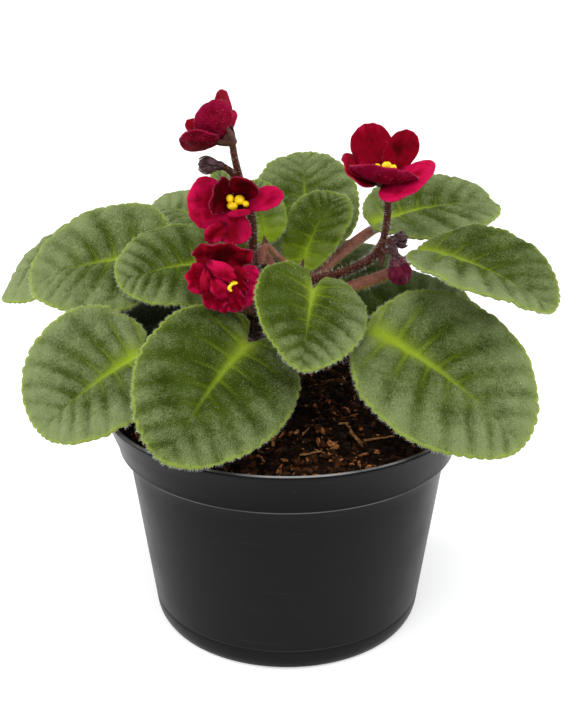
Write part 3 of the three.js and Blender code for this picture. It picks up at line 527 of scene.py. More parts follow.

# Each leaf: base is where the midrib meets the petiole, leaves is the height at which the petiole
# leaves the stem, heading is the way the blade grows, pitch its slope at the base, droop how far it
# bends down to the tip, roll its tilt about the midrib, fold and dish its cross-section. Where a
# leaf differs from the others, lobe is how far its two lobes reach back, widest the place where it
# is widest, pointed how much it narrows to its tip and notch how deep it is cut between the lobes,
# and its petiole goes via two places. Young blades are lighter. Shaded ones are painted darker, as
# painted shade, and silvery ones are painted more downy, with painted sheen, on one side more than
# on the other where they lean, as painted light.
LEAVES = {
    "leaf_front_left": dict(
        base=(-11.5, -21, 102.5), leaves=84, heading=243, pitch=-10, droop=24, roll=-31, length=53.5,
        width=47.5, fold=0.24, dish=0.23, silver_sheen=-0.15, lean=0.12),
    "leaf_front_right": dict(
        base=(27, -21, 105), leaves=84, heading=334, pitch=-17, droop=28, roll=26, length=56, width=55,
        fold=0.24, dish=0.15, lobe=0.09, widest=0.42, pointed=0.15, notch=0.3, silver_sheen=0.12),
    "leaf_centre_heart": dict(
        base=(8, -15, 117.7), leaves=100, heading=263, pitch=-14, droop=23, roll=-21, length=35, width=35,
        fold=0.3, dish=0.19, lobe=0.25, widest=0.33, pointed=0.21, silver_sheen=-0.16, lean=0.42),
    "leaf_left_low": dict(
        base=(-44.5, -25, 100.3), leaves=80, heading=207, pitch=-22, droop=20, roll=-24, length=38.5,
        width=48, fold=0.28, dish=0, silver_sheen=0.2),
    "leaf_left_high": dict(
        base=(-39.5, 7.5, 120), leaves=94, heading=176, pitch=3, droop=33, roll=-33, length=46, width=45.5,
        fold=0.21, dish=0.12, lobe=0.08, widest=0.36, pointed=0.17, silver_sheen=0.13),
    "leaf_left_near": dict(
        base=(-22.5, 2.5, 120), leaves=102, heading=195, pitch=5, droop=26, roll=-27, length=32, width=37,
        fold=0.25, dish=0.21, silver_sheen=-0.06, via=((-12, 6, 103.5), (-18.5, 4, 111.5))),
    "leaf_far_left": dict(
        base=(-67, 28, 122), leaves=90, heading=164, pitch=-22, droop=28, roll=-20, length=41, width=43,
        fold=0.18, dish=0.33, silver_sheen=0.4),
    "leaf_back_left": dict(
        base=(-22, 42, 119.5), leaves=97, heading=136, pitch=13, droop=21, roll=-17, length=39.5,
        width=36.5, fold=0.23, dish=0.26, silver_sheen=0.3),
    "leaf_young_left": dict(
        base=(-7.5, 15.5, 125.5), leaves=108, heading=100, pitch=42, droop=31, roll=-7, length=27, width=17,
        fold=0.22, dish=0.26, youth=1),
    "leaf_young_right": dict(
        base=(5.5, 13, 118), leaves=108, heading=61, pitch=53, droop=38, roll=12, length=30.5, width=20.5,
        fold=0.28, dish=0.09, lobe=0.17, widest=0.49, pointed=0.19, youth=0.8, silver_sheen=-0.25),
    "leaf_young_behind": dict(
        base=(-14, 26, 121), leaves=106, heading=143, pitch=66, droop=12, roll=0, length=26, width=15,
        fold=0.25, dish=0.2, youth=0.8),
    "leaf_back": dict(
        base=(6.5, 36.5, 119.5), leaves=98, heading=91, pitch=30, droop=15, roll=-4, length=48, width=38,
        fold=0.24, dish=0.22, lobe=0.24),
    "leaf_back_right": dict(
        base=(28, 31, 124.5), leaves=104, heading=15, pitch=18, droop=26, roll=12, length=46, width=44,
        fold=0.29, dish=0.24, lobe=0.02, widest=0.5, pointed=0.09, silver_sheen=0.07,
        via=((9, 15, 112), (18, 23, 117))),
    "leaf_right_high": dict(
        base=(41, 5, 124), leaves=101, heading=327, pitch=1, droop=30, roll=5, length=49.5, width=45,
        fold=0.22, dish=0.05, lobe=0, widest=0.44, pointed=0.3, via=((22, 7, 111), (33, 7.5, 115)),
        silver_sheen=0.02, lean=-0.36),
    "leaf_right_shaded": dict(
        base=(25.5, 5, 95.5), leaves=84, heading=36, pitch=15, droop=26, roll=20, length=48, width=43,
        fold=0.23, dish=0.21, shade=0.4),
    "leaf_low_back": dict(
        base=(-11, 42, 97), leaves=84, heading=110, pitch=18, droop=24, roll=0, length=46, width=44,
        fold=0.23, dish=0.23, lobe=0.3, shade=0.6),
    "leaf_low_back_right": dict(
        base=(18, 39, 95), leaves=80, heading=76, pitch=22, droop=20, roll=5, length=43, width=36,
        fold=0.23, dish=0.23, lobe=0.26, shade=0.5),
    "leaf_low_back_left": dict(
        base=(-28, 22, 93.5), leaves=80, heading=180, pitch=-1, droop=26, roll=-8, length=43, width=44,
        fold=0.2, dish=0.2, shade=0.93),
}


def leaf_outline(leaf, turn):
    """The blade's outline, egg-shaped with two lobes at the base; turn is 0 at the tip."""
    length, width = leaf["length"], leaf["width"]
    lobe = leaf.get("lobe", LOBE) * length
    middle = leaf.get("widest", WIDEST) * length
    back = np.maximum(-np.cos(turn), 0)
    front = np.maximum(np.cos(turn), 0)
    reach = np.where(front > 0, length - middle, middle + lobe)
    across = 0.5 * width * np.sin(turn) * (1 - leaf.get("pointed", POINTED) * front**2)
    across *= np.where(back > 0, 1 + BASE_FULLNESS * np.sin(2 * turn) ** 2, 1)
    notch = leaf.get("notch", 1) * lobe * np.exp(-((across / (NOTCH * width)) ** 2)) * back
    return middle + reach * np.cos(turn) + notch, across


def laid_out(root, *steps):
    """Places that lie from a root by amounts along directions; each step is both."""
    places = np.array(root, float)
    for amounts, way in steps:
        places = places + np.multiply.outer(amounts, way)
    return places


def leaf_point(leaf, along, across, height=0.0):
    """A place on the blade, along the midrib and across it, raised by a height."""
    slope = math.radians(leaf["pitch"])
    bend = -math.radians(leaf["droop"]) / leaf["length"]
    angle = slope + bend * np.maximum(along, 0)
    behind = np.minimum(along, 0)
    run = (np.sin(angle) - math.sin(slope)) / bend + behind * math.cos(slope)
    rise = (math.cos(slope) - np.cos(angle)) / bend + behind * math.sin(slope)
    half = 0.5 * leaf["width"]
    lift = leaf["fold"] * np.abs(across) - leaf["dish"] * across**2 / half + height
    roll = math.radians(leaf["roll"])
    side = across * math.cos(roll) - lift * math.sin(roll)
    up = across * math.sin(roll) + lift * math.cos(roll)
    heading = math.radians(leaf["heading"])
    way = np.array([math.cos(heading), math.sin(heading), 0])
    left = np.array([-math.sin(heading), math.cos(heading), 0])
    ahead, above = run - up * np.sin(angle), rise + up * np.cos(angle)
    return laid_out(leaf["base"], (ahead, way), (side, left), (above, (0, 0, 1)))


def unit(vectors):
    """Vectors with their length made one."""
    length = np.linalg.norm(vectors, axis=-1, keepdims=True)
    return vectors / np.maximum(length, 1e-9)


# The crown: the plant's short main stem, with its thick hairy leaf stalks and one curled young bud
# stalk, which all grew as one piece. It stands in the soil. Each leaf stalk is reddish-brown, with
# a greener underside, and runs on under the blade as the raised back of the midrib.
NECK = [(-6, 4, 44), (-6, 5, 68), (-4, 7, 88), (-1, 10, 106), (0, 11, 111)]
NECK_RADII = [4.5, 5.6, 6.2, 4.6, 2.2]
HOOK_BUD = [(1, 10, 106), (0, 8, 117), (-3.5, 6.5, 121.5), (-6.5, 5, 124.5), (-8.3, 4, 122.5),
            (-8.2, 3, 119.5)]
HOOK_BUD_RADII = [1.1, 1, 1, 1.15, 1.7, 1]
PETIOLE_RADII = [2.3, 2.05, 2, 1.95]
PETIOLE_TIP_RADIUS = 1.6
SMALL_LEAF = 32
SMALL_PETIOLE = 0.72
RIB_DEPTH = 0.6
STEM_STEPS = 9
STEM_HAIRS_PER_MM2 = 1.5
STEM_HAIR_RADIUS = 0.046
STEM_HAIR_LENGTH = 1.2
PETIOLE_HAIR_LENGTH = 1.3
OLD_STALK = (0.03, 0.012, 0.008, 1)
OLD_STALK_TOP = 107
OLD_STALK_FOOT = 99


def route(points, steps):
    """Places along a smooth curve through the points, steps of them to each stretch."""
    points = np.array(points, float)
    before = 2 * points[0] - points[1]
    after = 2 * points[-1] - points[-2]
    padded = np.vstack([before, points, after])
    places = []
    for i in range(1, len(padded) - 2):
        p0, p1, p2, p3 = padded[i - 1:i + 3]
        d0, d1, d2 = (np.sqrt(np.linalg.norm(b - a)) for a, b in ((p0, p1), (p1, p2), (p2, p3)))
        t1 = ((p1 - p0) / d0 - (p2 - p0) / (d0 + d1) + (p2 - p1) / d1) * d1
        t2 = ((p2 - p1) / d1 - (p3 - p1) / (d1 + d2) + (p3 - p2) / d2) * d1
        for t in np.arange(steps) / steps:
            cubic = (2 * p1 - 2 * p2 + t1 + t2) * t**3 + (3 * p2 - 3 * p1 - 2 * t1 - t2) * t**2
            places.append(cubic + t1 * t + p1)
    return np.vstack([places, points[-1]])


def radii_along(radii, count):
    """A number of radii that go evenly from one given radius to the next."""
    return np.interp(np.linspace(0, len(radii) - 1, count), np.arange(len(radii)), radii)


def round_stem(name, places, radii, finish, sides=4):
    """A round stem drawn along its places as a curve, then made a mesh with closed ends."""
    select_only()
    bpy.ops.curve.primitive_nurbs_path_add()
    drawn = bpy.context.object
    drawn.name = name
    curve = drawn.data
    curve.splines.clear()
    line = curve.splines.new("POLY")
    line.points.add(len(places) - 1)
    line.points.foreach_set("co", np.column_stack([places * MM, np.ones(len(places))]).ravel())
    line.points.foreach_set("radius", np.asarray(radii, float))
    curve.bevel_depth = MM
    curve.bevel_resolution = sides
    curve.use_fill_caps = True
    bpy.ops.object.convert(target="MESH")
    stem = bpy.context.object
    stem.data.materials.clear()
    stem.data.materials.append(finish)
    return stem


def joined(name, pieces):
    """Several pieces as one object."""
    select_only(*pieces)
    bpy.ops.object.join()
    whole = bpy.context.object
    whole.name = name
    return whole


def hairs(name, material_slot, groups, radius, finish):
    """Fine plant hairs, each a slim closed spike of four triangles. A group has the hairs' roots,
    ways and lengths."""
    roots, ways, lengths = (np.concatenate(group) for group in zip(*groups))
    count = len(roots)
    ways = unit(ways)
    aside = unit(np.cross(ways, rng.normal(size=(count, 3))))
    other = np.cross(ways, aside)
    corners = np.zeros((count, 4, 3))
    for k in range(3):
        turn = 2 * math.pi * k / 3
        corners[:, k] = roots + radius * (math.cos(turn) * aside + math.sin(turn) * other) - 0.1 * ways
    corners[:, 3] = roots + ways * lengths[:, None]
    start = 4 * np.arange(count)[:, None]
    spike = np.array([[0, 1, 3], [1, 2, 3], [2, 0, 3], [0, 2, 1]])
    faces = (start[:, :, None] + spike[None]).reshape(-1, 3)
    finished(made_mesh(name, corners.reshape(-1, 3), faces.tolist(), finish), material_slot)


def stem_down(places, radii, density, length):
    """Roots, ways and lengths of the hairs round a stem; density is hairs for each square mm."""
    tangents = unit(np.gradient(places, axis=0))
    spans = np.linalg.norm(np.diff(places, axis=0), axis=1)
    total = spans.sum()
    count = max(int(total * 2 * math.pi * np.mean(radii) * density), 1)
    where = rng.uniform(0, total, count)
    travelled = np.concatenate([[0], np.cumsum(spans)])
    centre = np.column_stack([np.interp(where, travelled, places[:, k]) for k in range(3)])
    tangent = unit(np.column_stack([np.interp(where, travelled, tangents[:, k]) for k in range(3)]))
    radius = np.interp(where, travelled, radii)
    out = unit(np.cross(tangent, rng.normal(size=(count, 3))))
    ways = out + 0.2 * rng.normal(size=(count, 3)) + 0.12 * tangent
    return centre + out * radius[:, None], ways, length * rng.uniform(0.55, 1.1, count)


def hair_finish(name, colour):
    """Fine hair that lets some light through."""
    return new_finish(
        name, Base_Color=colour, Roughness=0.35, Specular_IOR_Level=0.6, Transmission_Weight=0.35)[0]


def stem_finish(name, ruddy, green, sheen_tint):
    """A fleshy stalk: reddish-brown in streaks, greener below and darkest low down, where it is old."""
    finish, tree = new_finish(
        name, Roughness=0.42, Specular_IOR_Level=0.16, Subsurface_Weight=0.1, Subsurface_Scale=0.002,
        Sheen_Weight=0.02, Sheen_Roughness=0.4, Sheen_Tint=sheen_tint)
    place = place_of(tree)
    facing_up = split(tree, set_node(tree, "ShaderNodeNewGeometry").outputs["Normal"])[2]
    skin = mixed(tree, ramp(tree, facing_up, 0.0, -0.7, 0, 0.85), ruddy, green)
    streak = tuple(0.45 * channel for channel in ruddy[:3]) + (1,)
    skin = mixed(tree, ramp(tree, cloud(tree, place, 420, 4, 0.6), 0.4, 0.7, 0, 0.7), skin, streak)
    low = ramp(tree, split(tree, place)[2], OLD_STALK_TOP * MM, OLD_STALK_FOOT * MM)
    painted(tree, mixed(tree, low, skin, OLD_STALK), cloud(tree, place, 1400, 3), 0.35, 0.3)
    return finish


petiole_skin = stem_finish("ruddy_petiole", (0.27, 0.1, 0.062, 1), (0.26, 0.23, 0.035, 1), (1, 0.75, 0.7, 1))
stem_hair = hair_finish("pale_stem_hair", (0.5, 0.43, 0.36, 1))


def petiole_route(leaf):
    """Places and radii of a leaf's stalk, from inside the main stem to under its midrib."""
    neck = route(NECK, 50)
    root = neck[np.argmax(neck[:, 2] >= leaf["leaves"])]
    thin = SMALL_PETIOLE if leaf["length"] < SMALL_LEAF else 1
    tip_radius = PETIOLE_TIP_RADIUS * thin

    def below(along, drop):
        here = leaf_point(leaf, np.array([along]), np.array([0.0]))[0]
        way = unit(leaf_point(leaf, np.array([along + 0.5]), np.array([0.0]))[0] - here)
        across = leaf_point(leaf, np.array([along]), np.array([0.5]))[0] - here
        across -= leaf_point(leaf, np.array([along]), np.array([-0.5]))[0] - here
        down = -unit(np.cross(way, across))
        return here + down * drop, way, down

    start, way, down = below(0.0, BLADE / 2 + RIB_DEPTH + 0.85 * tip_radius)
    distance = np.linalg.norm(start - root)
    approach = start - 0.16 * distance * way + 0.12 * distance * down
    middle = root + 0.45 * (approach - root)
    middle[2] -= 0.04 * distance
    rib = [below(share * leaf["length"], RIB_DEPTH * (1.1 - share) + 0.75 * tip_radius * (1 - share) + 0.3)[0]
           for share in (0.1, 0.25, 0.45, 0.7)]
    points = [root, *leaf.get("via", (middle, approach)), start, *rib]
    radii = [r * thin for r in PETIOLE_RADII[:len(points) - 5]]
    radii += [share * tip_radius for share in (1.08, 0.9, 0.7, 0.5, 0.2)]
    places = route(points, STEM_STEPS)
    return places, radii_along(radii, len(places))


stems, down_parts = [], []
for points, radii in ((NECK, NECK_RADII), (HOOK_BUD, HOOK_BUD_RADII)):
    places = route(points, STEM_STEPS)
    thickness = radii_along(radii, len(places))
    stems.append(round_stem("stem", places, thickness, petiole_skin, 6))
    down_parts.append(stem_down(places, thickness, STEM_HAIRS_PER_MM2, STEM_HAIR_LENGTH))
for leaf in LEAVES.values():
    places, thickness = petiole_route(leaf)
    stems.append(round_stem("petiole", places, thickness, petiole_skin))
    down_parts.append(stem_down(places, thickness, STEM_HAIRS_PER_MM2, PETIOLE_HAIR_LENGTH))
crown = joined("crown_and_leaf_stalks", stems)
smooth(crown)
finished(crown, "stem", "crown_and_petioles")
hairs("crown_hairs", "stem", down_parts, STEM_HAIR_RADIUS, stem_hair)

# The leaf blades: thick soft green velvet, quilted between their arched side veins, with a pale
# green midrib, a scalloped yellow-green edge and silvery hairs. Each grew on its own leaf stalk.
LEAF_CELLS = 64
SCALLOPS = 52
SCALLOP_DEPTH = 0.75
VEIN_SPACING = 0.13
FIRST_VEIN = 0.12
QUILT = 0.85
COMMON_LEAF = 45
BLADE_FILL = 0.8
LEAF_HAIRS_PER_MM2 = 1.9
LEAF_HAIR_RADIUS = 0.024
LEAF_HAIR_LENGTHS = (0.35, 0.85)
RIM_HAIRS = 1300
RIM_HAIR_RADIUS = 0.03
RIM_HAIR_LENGTHS = (0.5, 1.15)
HAIRS_ON_HIDDEN = 0.4
HIDDEN_LEAVES = ("leaf_low_back", "leaf_low_back_right", "leaf_low_back_left")
# A near-black green: painted shade for shaded blades.
LEAF_PAINTED_SHADE = (0.005, 0.008, 0.002, 1)
LEAF_DEEP = (0.026, 0.045, 0.001, 1)
LEAF_GREEN = (0.045, 0.075, 0.004, 1)
# Grey-green of the down, which also serves as painted sheen.
LEAF_DOWN_AND_SHEEN = (0.185, 0.23, 0.095, 1)
LEAF_YOUNG = (0.14, 0.22, 0.006, 1)
LEAF_RIB = (0.3, 0.41, 0.02, 1)
LEAF_RIM = (0.25, 0.33, 0.05, 1)
# Pale specks: painted glints on the hairs.
LEAF_GLINT = (0.6, 0.62, 0.5, 1)
LEAF_BACK = (0.2, 0.25, 0.12, 1)
LEAF_BACK_RUDDY = (0.16, 0.07, 0.06, 1)


def vein_count(leaf, along, across):
    """A number that grows along the midrib and is whole on each side vein."""
    share = np.abs(across) / (0.5 * leaf["width"])
    start = (along - FIRST_VEIN * leaf["length"]) / (1 + 0.5 * share + 0.5 * share**2)
    return start / (VEIN_SPACING * leaf["length"]) + np.where(across < 0, 0.35, 0)


def rib_reach(leaf, along, across):
    """Distance from the midrib over the midrib's half width there."""
    half_width = np.interp(along / leaf["length"], [-0.1, 0, 0.3, 1], [1.7, 1.5, 0.85, 0.3])
    return np.abs(across) / (half_width * leaf["width"] / COMMON_LEAF)


def leaf_relief(leaf, along, across, share, seed):
    """Height of the quilted surface over the plain blade."""
    count = vein_count(leaf, along, across)
    gap = np.abs(count - np.round(count))
    inner = 1 - share**6
    dome = QUILT * (0.5 - 0.5 * np.cos(2 * math.pi * gap)) - 0.18 * np.exp(-((gap / 0.12) ** 2))
    depth = RIB_DEPTH * np.clip(1.1 - along / leaf["length"], 0.1, 1)
    rib = -depth * np.exp(-(rib_reach(leaf, along, across) ** 2) / 2)
    away = 1 - np.exp(-((across / 3) ** 2))
    places = np.column_stack([along, across, np.full(len(along), 7.7 * seed)])
    puckers = np.array([noise.noise(Vector(place * 0.42)) for place in places])
    crumple = np.array([noise.noise(Vector(place * 0.14)) for place in places])
    fine = np.array([noise.noise(Vector(place * 0.95)) for place in places])
    quilt = dome * away * inner + rib * (1 - share**12)
    return quilt + 0.55 * puckers * away + 1.1 * crumple * share**2 + 0.22 * fine * away - 0.5 * share**14


def write_attribute(piece, name, *columns):
    """Keeps one number or three for each corner of a piece, which its finish reads."""
    kind, key = ("FLOAT_VECTOR", "vector") if len(columns) == 3 else ("FLOAT", "value")
    count = len(piece.data.vertices)
    values = np.column_stack([np.broadcast_to(np.asarray(column, float), count) for column in columns])
    piece.data.attributes.new(name, kind, "POINT").data.foreach_set(key, values.ravel())


def read_attribute(tree, name, output="Vector"):
    return set_node(tree, "ShaderNodeAttribute", attribute_name=name).outputs[output]


def leaf_velvet():
    """The upper face of a blade: fresh green at the midrib, and silvery farther out, with down and painted
    sheen.
    """
    finish, tree = new_finish(
        "leaf_velvet", Roughness=0.7, Specular_IOR_Level=0.03, Sheen_Weight=0.02, Sheen_Roughness=0.4,
        Sheen_Tint=(0.9, 0.95, 0.75, 1))
    place = read_attribute(tree, "leaf_place")
    share = split(tree, place)[2]
    count, rib, reach = split(tree, read_attribute(tree, "leaf_marks"))
    youth, silver_sheen, shade = split(tree, read_attribute(tree, "leaf_youth_sheen_shade"))
    gap = maths(tree, "PINGPONG", count, 0.5)
    wide = cloud(tree, place, 0.1, 3)
    small = cloud(tree, place, 0.5, 4, 0.6)
    grain = cloud(tree, place, 2.4, 3, 0.7)
    glint_specks = cloud(tree, place, 4.5, 1)
    along_veins = {0: times(tree, count, 16), 1: times(tree, split(tree, place)[1], 0.8)}
    strands = cloud(tree, set_node(tree, "ShaderNodeCombineXYZ", along_veins).outputs[0], 1, 3, 0.6)

    # Painted shade in the furrows along the side veins and painted light on the pillows between them,
    # stronger in broad uneven patches.
    uneven = cloud(tree, stretched(tree, place, (1, 1, 0)), 0.06, 2)
    painted_quilt_shade = times(tree, ramp(tree, gap, 0.0, 0.42, -0.22, 0.16), ramp(tree, uneven, 0.35, 0.65, 0.4, 1.1))
    # Down and painted sheen: more towards the margins and away from the midrib, by each blade's silvery share
    # and lean, with random patches and the painted light and shade of the quilting.
    down_and_sheen = plus(
        tree, silver_sheen, ramp(tree, share, 0.3, 1, 0, 0.42), ramp(tree, reach, 0.1, 1, 0, 0.2),
        ramp(tree, wide, 0.3, 0.7, -0.1, 0.12), painted_quilt_shade, ramp(tree, small, 0.3, 0.7, -0.07, 0.08),
        ramp(tree, grain, 0.3, 0.7, -0.2, 0.24), ramp(tree, strands, 0.3, 0.7, -0.11, 0.13))
    base = mixed(tree, ramp(tree, wide, 0.3, 0.7), LEAF_DEEP, LEAF_GREEN)
    base = mixed(tree, ramp(tree, down_and_sheen, -0.05, 1.05), base, LEAF_DOWN_AND_SHEEN)

    fresh = maths(tree, "MAXIMUM", ramp(tree, reach, 0.4, -0.15), ramp(tree, share, 0.8, 1, 0.05, 0.8))
    base = mixed(tree, times(tree, youth, fresh), base, LEAF_YOUNG)
    fading = ramp(tree, reach, 0.85, 0.1)
    glow = times(tree, ramp(tree, reach, 0.6, -0.1), ramp(tree, rib, 4.4, 0.5, 0, 0.55))
    in_blade = ramp(tree, reach, -0.07, 0.03, 0.25, 1)
    base = mixed(tree, times(tree, glow, in_blade), base, LEAF_RIB)
    side_veins = times(tree, ramp(tree, gap, 0.16, 0, 0, 0.3), ramp(tree, rib, 14, 2))
    base = mixed(tree, times(tree, side_veins, fading), base, LEAF_RIB)
    midrib = times(tree, ramp(tree, rib, 1.9, 0.2, 0, 0.85), in_blade)
    base = mixed(tree, times(tree, midrib, fading), base, LEAF_RIB)
    edge = plus(tree, share, ramp(tree, small, 0.3, 0.7, -0.014, 0.014))
    edge = plus(tree, ramp(tree, edge, 0.96, 0.985, 0, 0.62), ramp(tree, share, 0.86, 1, 0, 0.18))
    base = mixed(tree, edge, base, LEAF_RIM)
    # Tiny pale specks: painted glints.
    base = mixed(tree, ramp(tree, glint_specks, 0.7, 0.76, 0, 0.8), base, LEAF_GLINT)
    relief = plus(tree, grain, times(tree, small, 0.8), times(tree, strands, 0.6))
    # Shaded blades are painted darker, towards a near-black green: painted shade.
    painted(tree, mixed(tree, shade, base, LEAF_PAINTED_SHADE), relief, 0.8, 0.45)
    return finish


def leaf_underside():
    """The lower face of a blade, paler and flushed with red along its veins."""
    finish, tree = new_finish(
        "leaf_underside", Roughness=0.6, Specular_IOR_Level=0.15, Sheen_Weight=0.08, Sheen_Roughness=0.5,
        Sheen_Tint=(0.95, 0.9, 0.85, 1))
    marks = split(tree, read_attribute(tree, "leaf_marks"))
    place = read_attribute(tree, "leaf_place")
    gap = maths(tree, "PINGPONG", marks[0], 0.5)
    patches = cloud(tree, place, 0.3, 4)
    ruddy = maths(tree, "MAXIMUM", ramp(tree, gap, 0.1, 0.02), ramp(tree, marks[1], 1.6, 0.9))
    ruddy = times(tree, ruddy, ramp(tree, patches, 0.3, 0.6, 0.2, 0.8))
    painted(tree, mixed(tree, ruddy, LEAF_BACK, LEAF_BACK_RUDDY), cloud(tree, place, 2.4, 3), 0.4, 0.3)
    return finish


velvet_face = leaf_velvet()
velvet_back = leaf_underside()
leaf_hair = hair_finish("silvery_leaf_hair", (0.45, 0.52, 0.26, 1))
# Dark hair for shaded blades: painted shade.
shaded_hair = hair_finish("shaded_leaf_hair", (0.08, 0.1, 0.05, 1))
rim_hair = hair_finish("white_rim_hair", (0.85, 0.88, 0.78, 1))


def scalloped(leaf, turn, share):
    """The blade's flat place at a share of the way out, with rounded teeth round its edge."""
    along, across = leaf_outline(leaf, turn)
    middle = leaf.get("widest", WIDEST) * leaf["length"]
    reach = np.hypot(along - middle, across)
    wander = 0.9 * np.sin(3 * turn + leaf["heading"]) + 0.6 * np.sin(7 * turn)
    tooth = 1 - np.abs(np.sin(0.5 * (SCALLOPS * turn + wander)))
    depth = SCALLOP_DEPTH * (0.75 + 0.35 * np.sin(5 * turn + leaf["length"]))
    inward = 1 - depth * tooth**1.6 / reach * np.clip(4 * share - 3, 0, 1) ** 2
    return middle + (along - middle) * share * inward, across * share * inward


def blade_skin(leaf, number, turn, share, inset=1):
    """On the blade's face: place, upward normal, way out to the edge and height of the relief."""
    along, across = scalloped(leaf, turn, share * inset)
    forward = leaf_point(leaf, along + 0.1, across) - leaf_point(leaf, along - 0.1, across)
    aside = leaf_point(leaf, along, across + 0.1) - leaf_point(leaf, along, across - 0.1)
    outward = np.cos(turn)[:, None] * unit(forward) + np.sin(turn)[:, None] * unit(aside)
    relief = leaf_relief(leaf, along, across, share, number)
    return leaf_point(leaf, along, across), unit(np.cross(forward, aside)), outward, relief


def thicken(piece, thickness, *finishes):
    """Gives a sheet its thickness and its finish, or one finish for its face and one for its back."""
    for finish in finishes:
        piece.data.materials.append(finish)
    solid = piece.modifiers.new("thickness", "SOLIDIFY")
    solid.thickness = thickness * MM
    solid.offset = 0
    solid.material_offset = len(finishes) - 1
    apply_modifiers(piece)


for number, (name, leaf) in enumerate(LEAVES.items()):
    is_hidden = name in HIDDEN_LEAVES
    cells = LEAF_CELLS if leaf["length"] > SMALL_LEAF else LEAF_CELLS * 3 // 4
    blade, share, turn = disc_piece(name + "_blade", LEAF_CELLS // 2 if is_hidden else cells)
    along, across = scalloped(leaf, turn, share)
    relief = leaf_relief(leaf, along, across, share, number)
    move_corners(blade, leaf_point(leaf, along, across, relief))
    write_attribute(blade, "leaf_place", along, across, share)
    count, reach = vein_count(leaf, along, across), rib_reach(leaf, along, across)
    write_attribute(blade, "leaf_marks", count, reach, along / leaf["length"])
    youth = leaf.get("youth", 0) + 0.07 * (number % 3)
    # Painted light and shade: silvery blades are painted with more down and sheen, more on one side where
    # they lean, and shaded ones are painted darker.
    silver_sheen = leaf.get("silver_sheen", 0) + leaf.get("lean", 0) * 2 * across / leaf["width"]
    write_attribute(blade, "leaf_youth_sheen_shade", youth, silver_sheen, leaf.get("shade", 0))
    thicken(blade, BLADE, velvet_face, velvet_back)
    smooth(blade)
    finished(blade, "leaf", name)

    # Blades painted with shade take the dark hair too, as painted shade.
    fringe, coat = (shaded_hair, shaded_hair) if leaf.get("shade", 0) > 0.3 else (rim_hair, leaf_hair)
    area = leaf["length"] * leaf["width"] * BLADE_FILL
    count = int(area * LEAF_HAIRS_PER_MM2 * (HAIRS_ON_HIDDEN if is_hidden else 1))
    share, turn = np.sqrt(rng.uniform(0, 1, count)), rng.uniform(-math.pi, math.pi, count)
    here, normal, outward, relief = blade_skin(leaf, number, turn, share, 0.985)
    ways = normal + 0.55 * outward + 0.35 * rng.normal(size=(count, 3))
    roots = here + normal * (relief + BLADE / 2 - 0.05)[:, None]
    group = (roots, ways, rng.uniform(*LEAF_HAIR_LENGTHS, count))
    hairs(name + "_hairs", "leaf", [group], LEAF_HAIR_RADIUS, coat)
    count = int(RIM_HAIRS * (HAIRS_ON_HIDDEN if is_hidden else leaf["length"] / COMMON_LEAF))
    turn = rng.uniform(-math.pi, math.pi, count)
    here, normal, outward, relief = blade_skin(leaf, number, turn, np.ones(count))
    rise = rng.uniform(-0.5, 0.5, count)
    roots = here + normal * (relief + 0.7 * rise * BLADE)[:, None] - 0.1 * outward
    ways = outward + normal * rise[:, None] + 0.3 * rng.normal(size=(count, 3))
    group = (roots, ways, rng.uniform(*RIM_HAIR_LENGTHS, count))
    hairs(name + "_rim_hairs", "leaf", [group], RIM_HAIR_RADIUS, fringe)

# The flower stalks: three dark red-brown hairy stalks that rise from the crown among the leaf
# stalks and branch, each branch ending in a green-brown calyx of five pointed sepals or in a bud.
PEDICEL_RADIUS = 1.05
PEDUNCLE_RADIUS = 1.35
STALK_TAPER = 1.12
STALK_HAIRS_PER_MM2 = 1.7
STALK_HAIR_RADIUS = 0.052
STALK_HAIR_LENGTH = 1.5
THROAT_RADIUS = 2.6
THROAT_DEPTH = 2.6
CALYX_KNOB = 1.5
SEPAL = 0.5
SEPAL_CELLS = 8
SEPAL_WIDTH = 2.2
SEPAL_REACH = 4.5
SEPAL_RISE = 3.1
CALYX_RINGS = [(0.9, -5.3), (1.35, -4.9), (1.8, -3.9), (2.25, -2.9), (2.6, -1.9), (2.85, -1.1), (2.62, -1.05),
               (2.3, -1.9), (1.7, -2.9), (0.4, -3.2)]
BRACT_WIDTH = 2
STALKS = {
    "flower_stalk_left": dict(
        stems=[
            (PEDUNCLE_RADIUS,
             [(-1, 9, 104), (-8, 5.5, 112), (-10.5, 3.5, 119), (-11, 2, 134), (-13.3, 0, 144)]),
            (PEDICEL_RADIUS, [(-13, 0, 142), (-14.5, -1, 148.5), (-15.8, -1, 154), (-16.6, -1, 159)]),
            (PEDICEL_RADIUS, [(-13, 0, 142), (-14.6, -0.5, 147), (-16.8, -1, 150), (-19.4, -1, 151.9)]),
            (PEDICEL_RADIUS, [(-13, 0, 142), (-14, 0.5, 144), (-14.6, -0.5, 143.2), (-15, -1.2, 142.8)]),
        ],
        calyces=["flower_top", "flower_middle"],
        bracts=[((-14, 0, 146), (-17.6, -0.5, 149)), ((-14, 0, 146), (-14, -4, 149))]),
    "flower_stalk_right": dict(
        stems=[
            (PEDUNCLE_RADIUS,
             [(1, 9.5, 104), (7.5, 8, 112), (18.5, 6, 116), (27.5, 5, 121.5), (30.5, 4, 127)]),
            (PEDICEL_RADIUS, [(30, 4.2, 125), (31.2, 4, 132), (31.5, 4, 140), (30.8, 4.8, 144.4)]),
            (PEDICEL_RADIUS, [(29.5, 4.4, 124), (31, 2.6, 126.6), (32.2, 1.4, 127.3), (32.8, 1, 126.4)]),
            (PEDICEL_RADIUS, [(29.5, 4.4, 124), (31.4, 6, 126), (32.8, 6.4, 126.6)]),
        ],
        calyces=["flower_right"],
        bracts=[((30, 3, 123), (29.5, 0, 119)), ((30.5, 3, 124), (33.5, -1, 125))]),
    "flower_stalk_low": dict(
        stems=[
            (PEDICEL_RADIUS,
             [(-3, 8, 100), (-9, 2, 108), (-14, -6, 116), (-17.8, -12, 119.8), (-18.6, -14.2, 120.6)]),
        ],
        calyces=["flower_low"],
        bracts=[]),
}
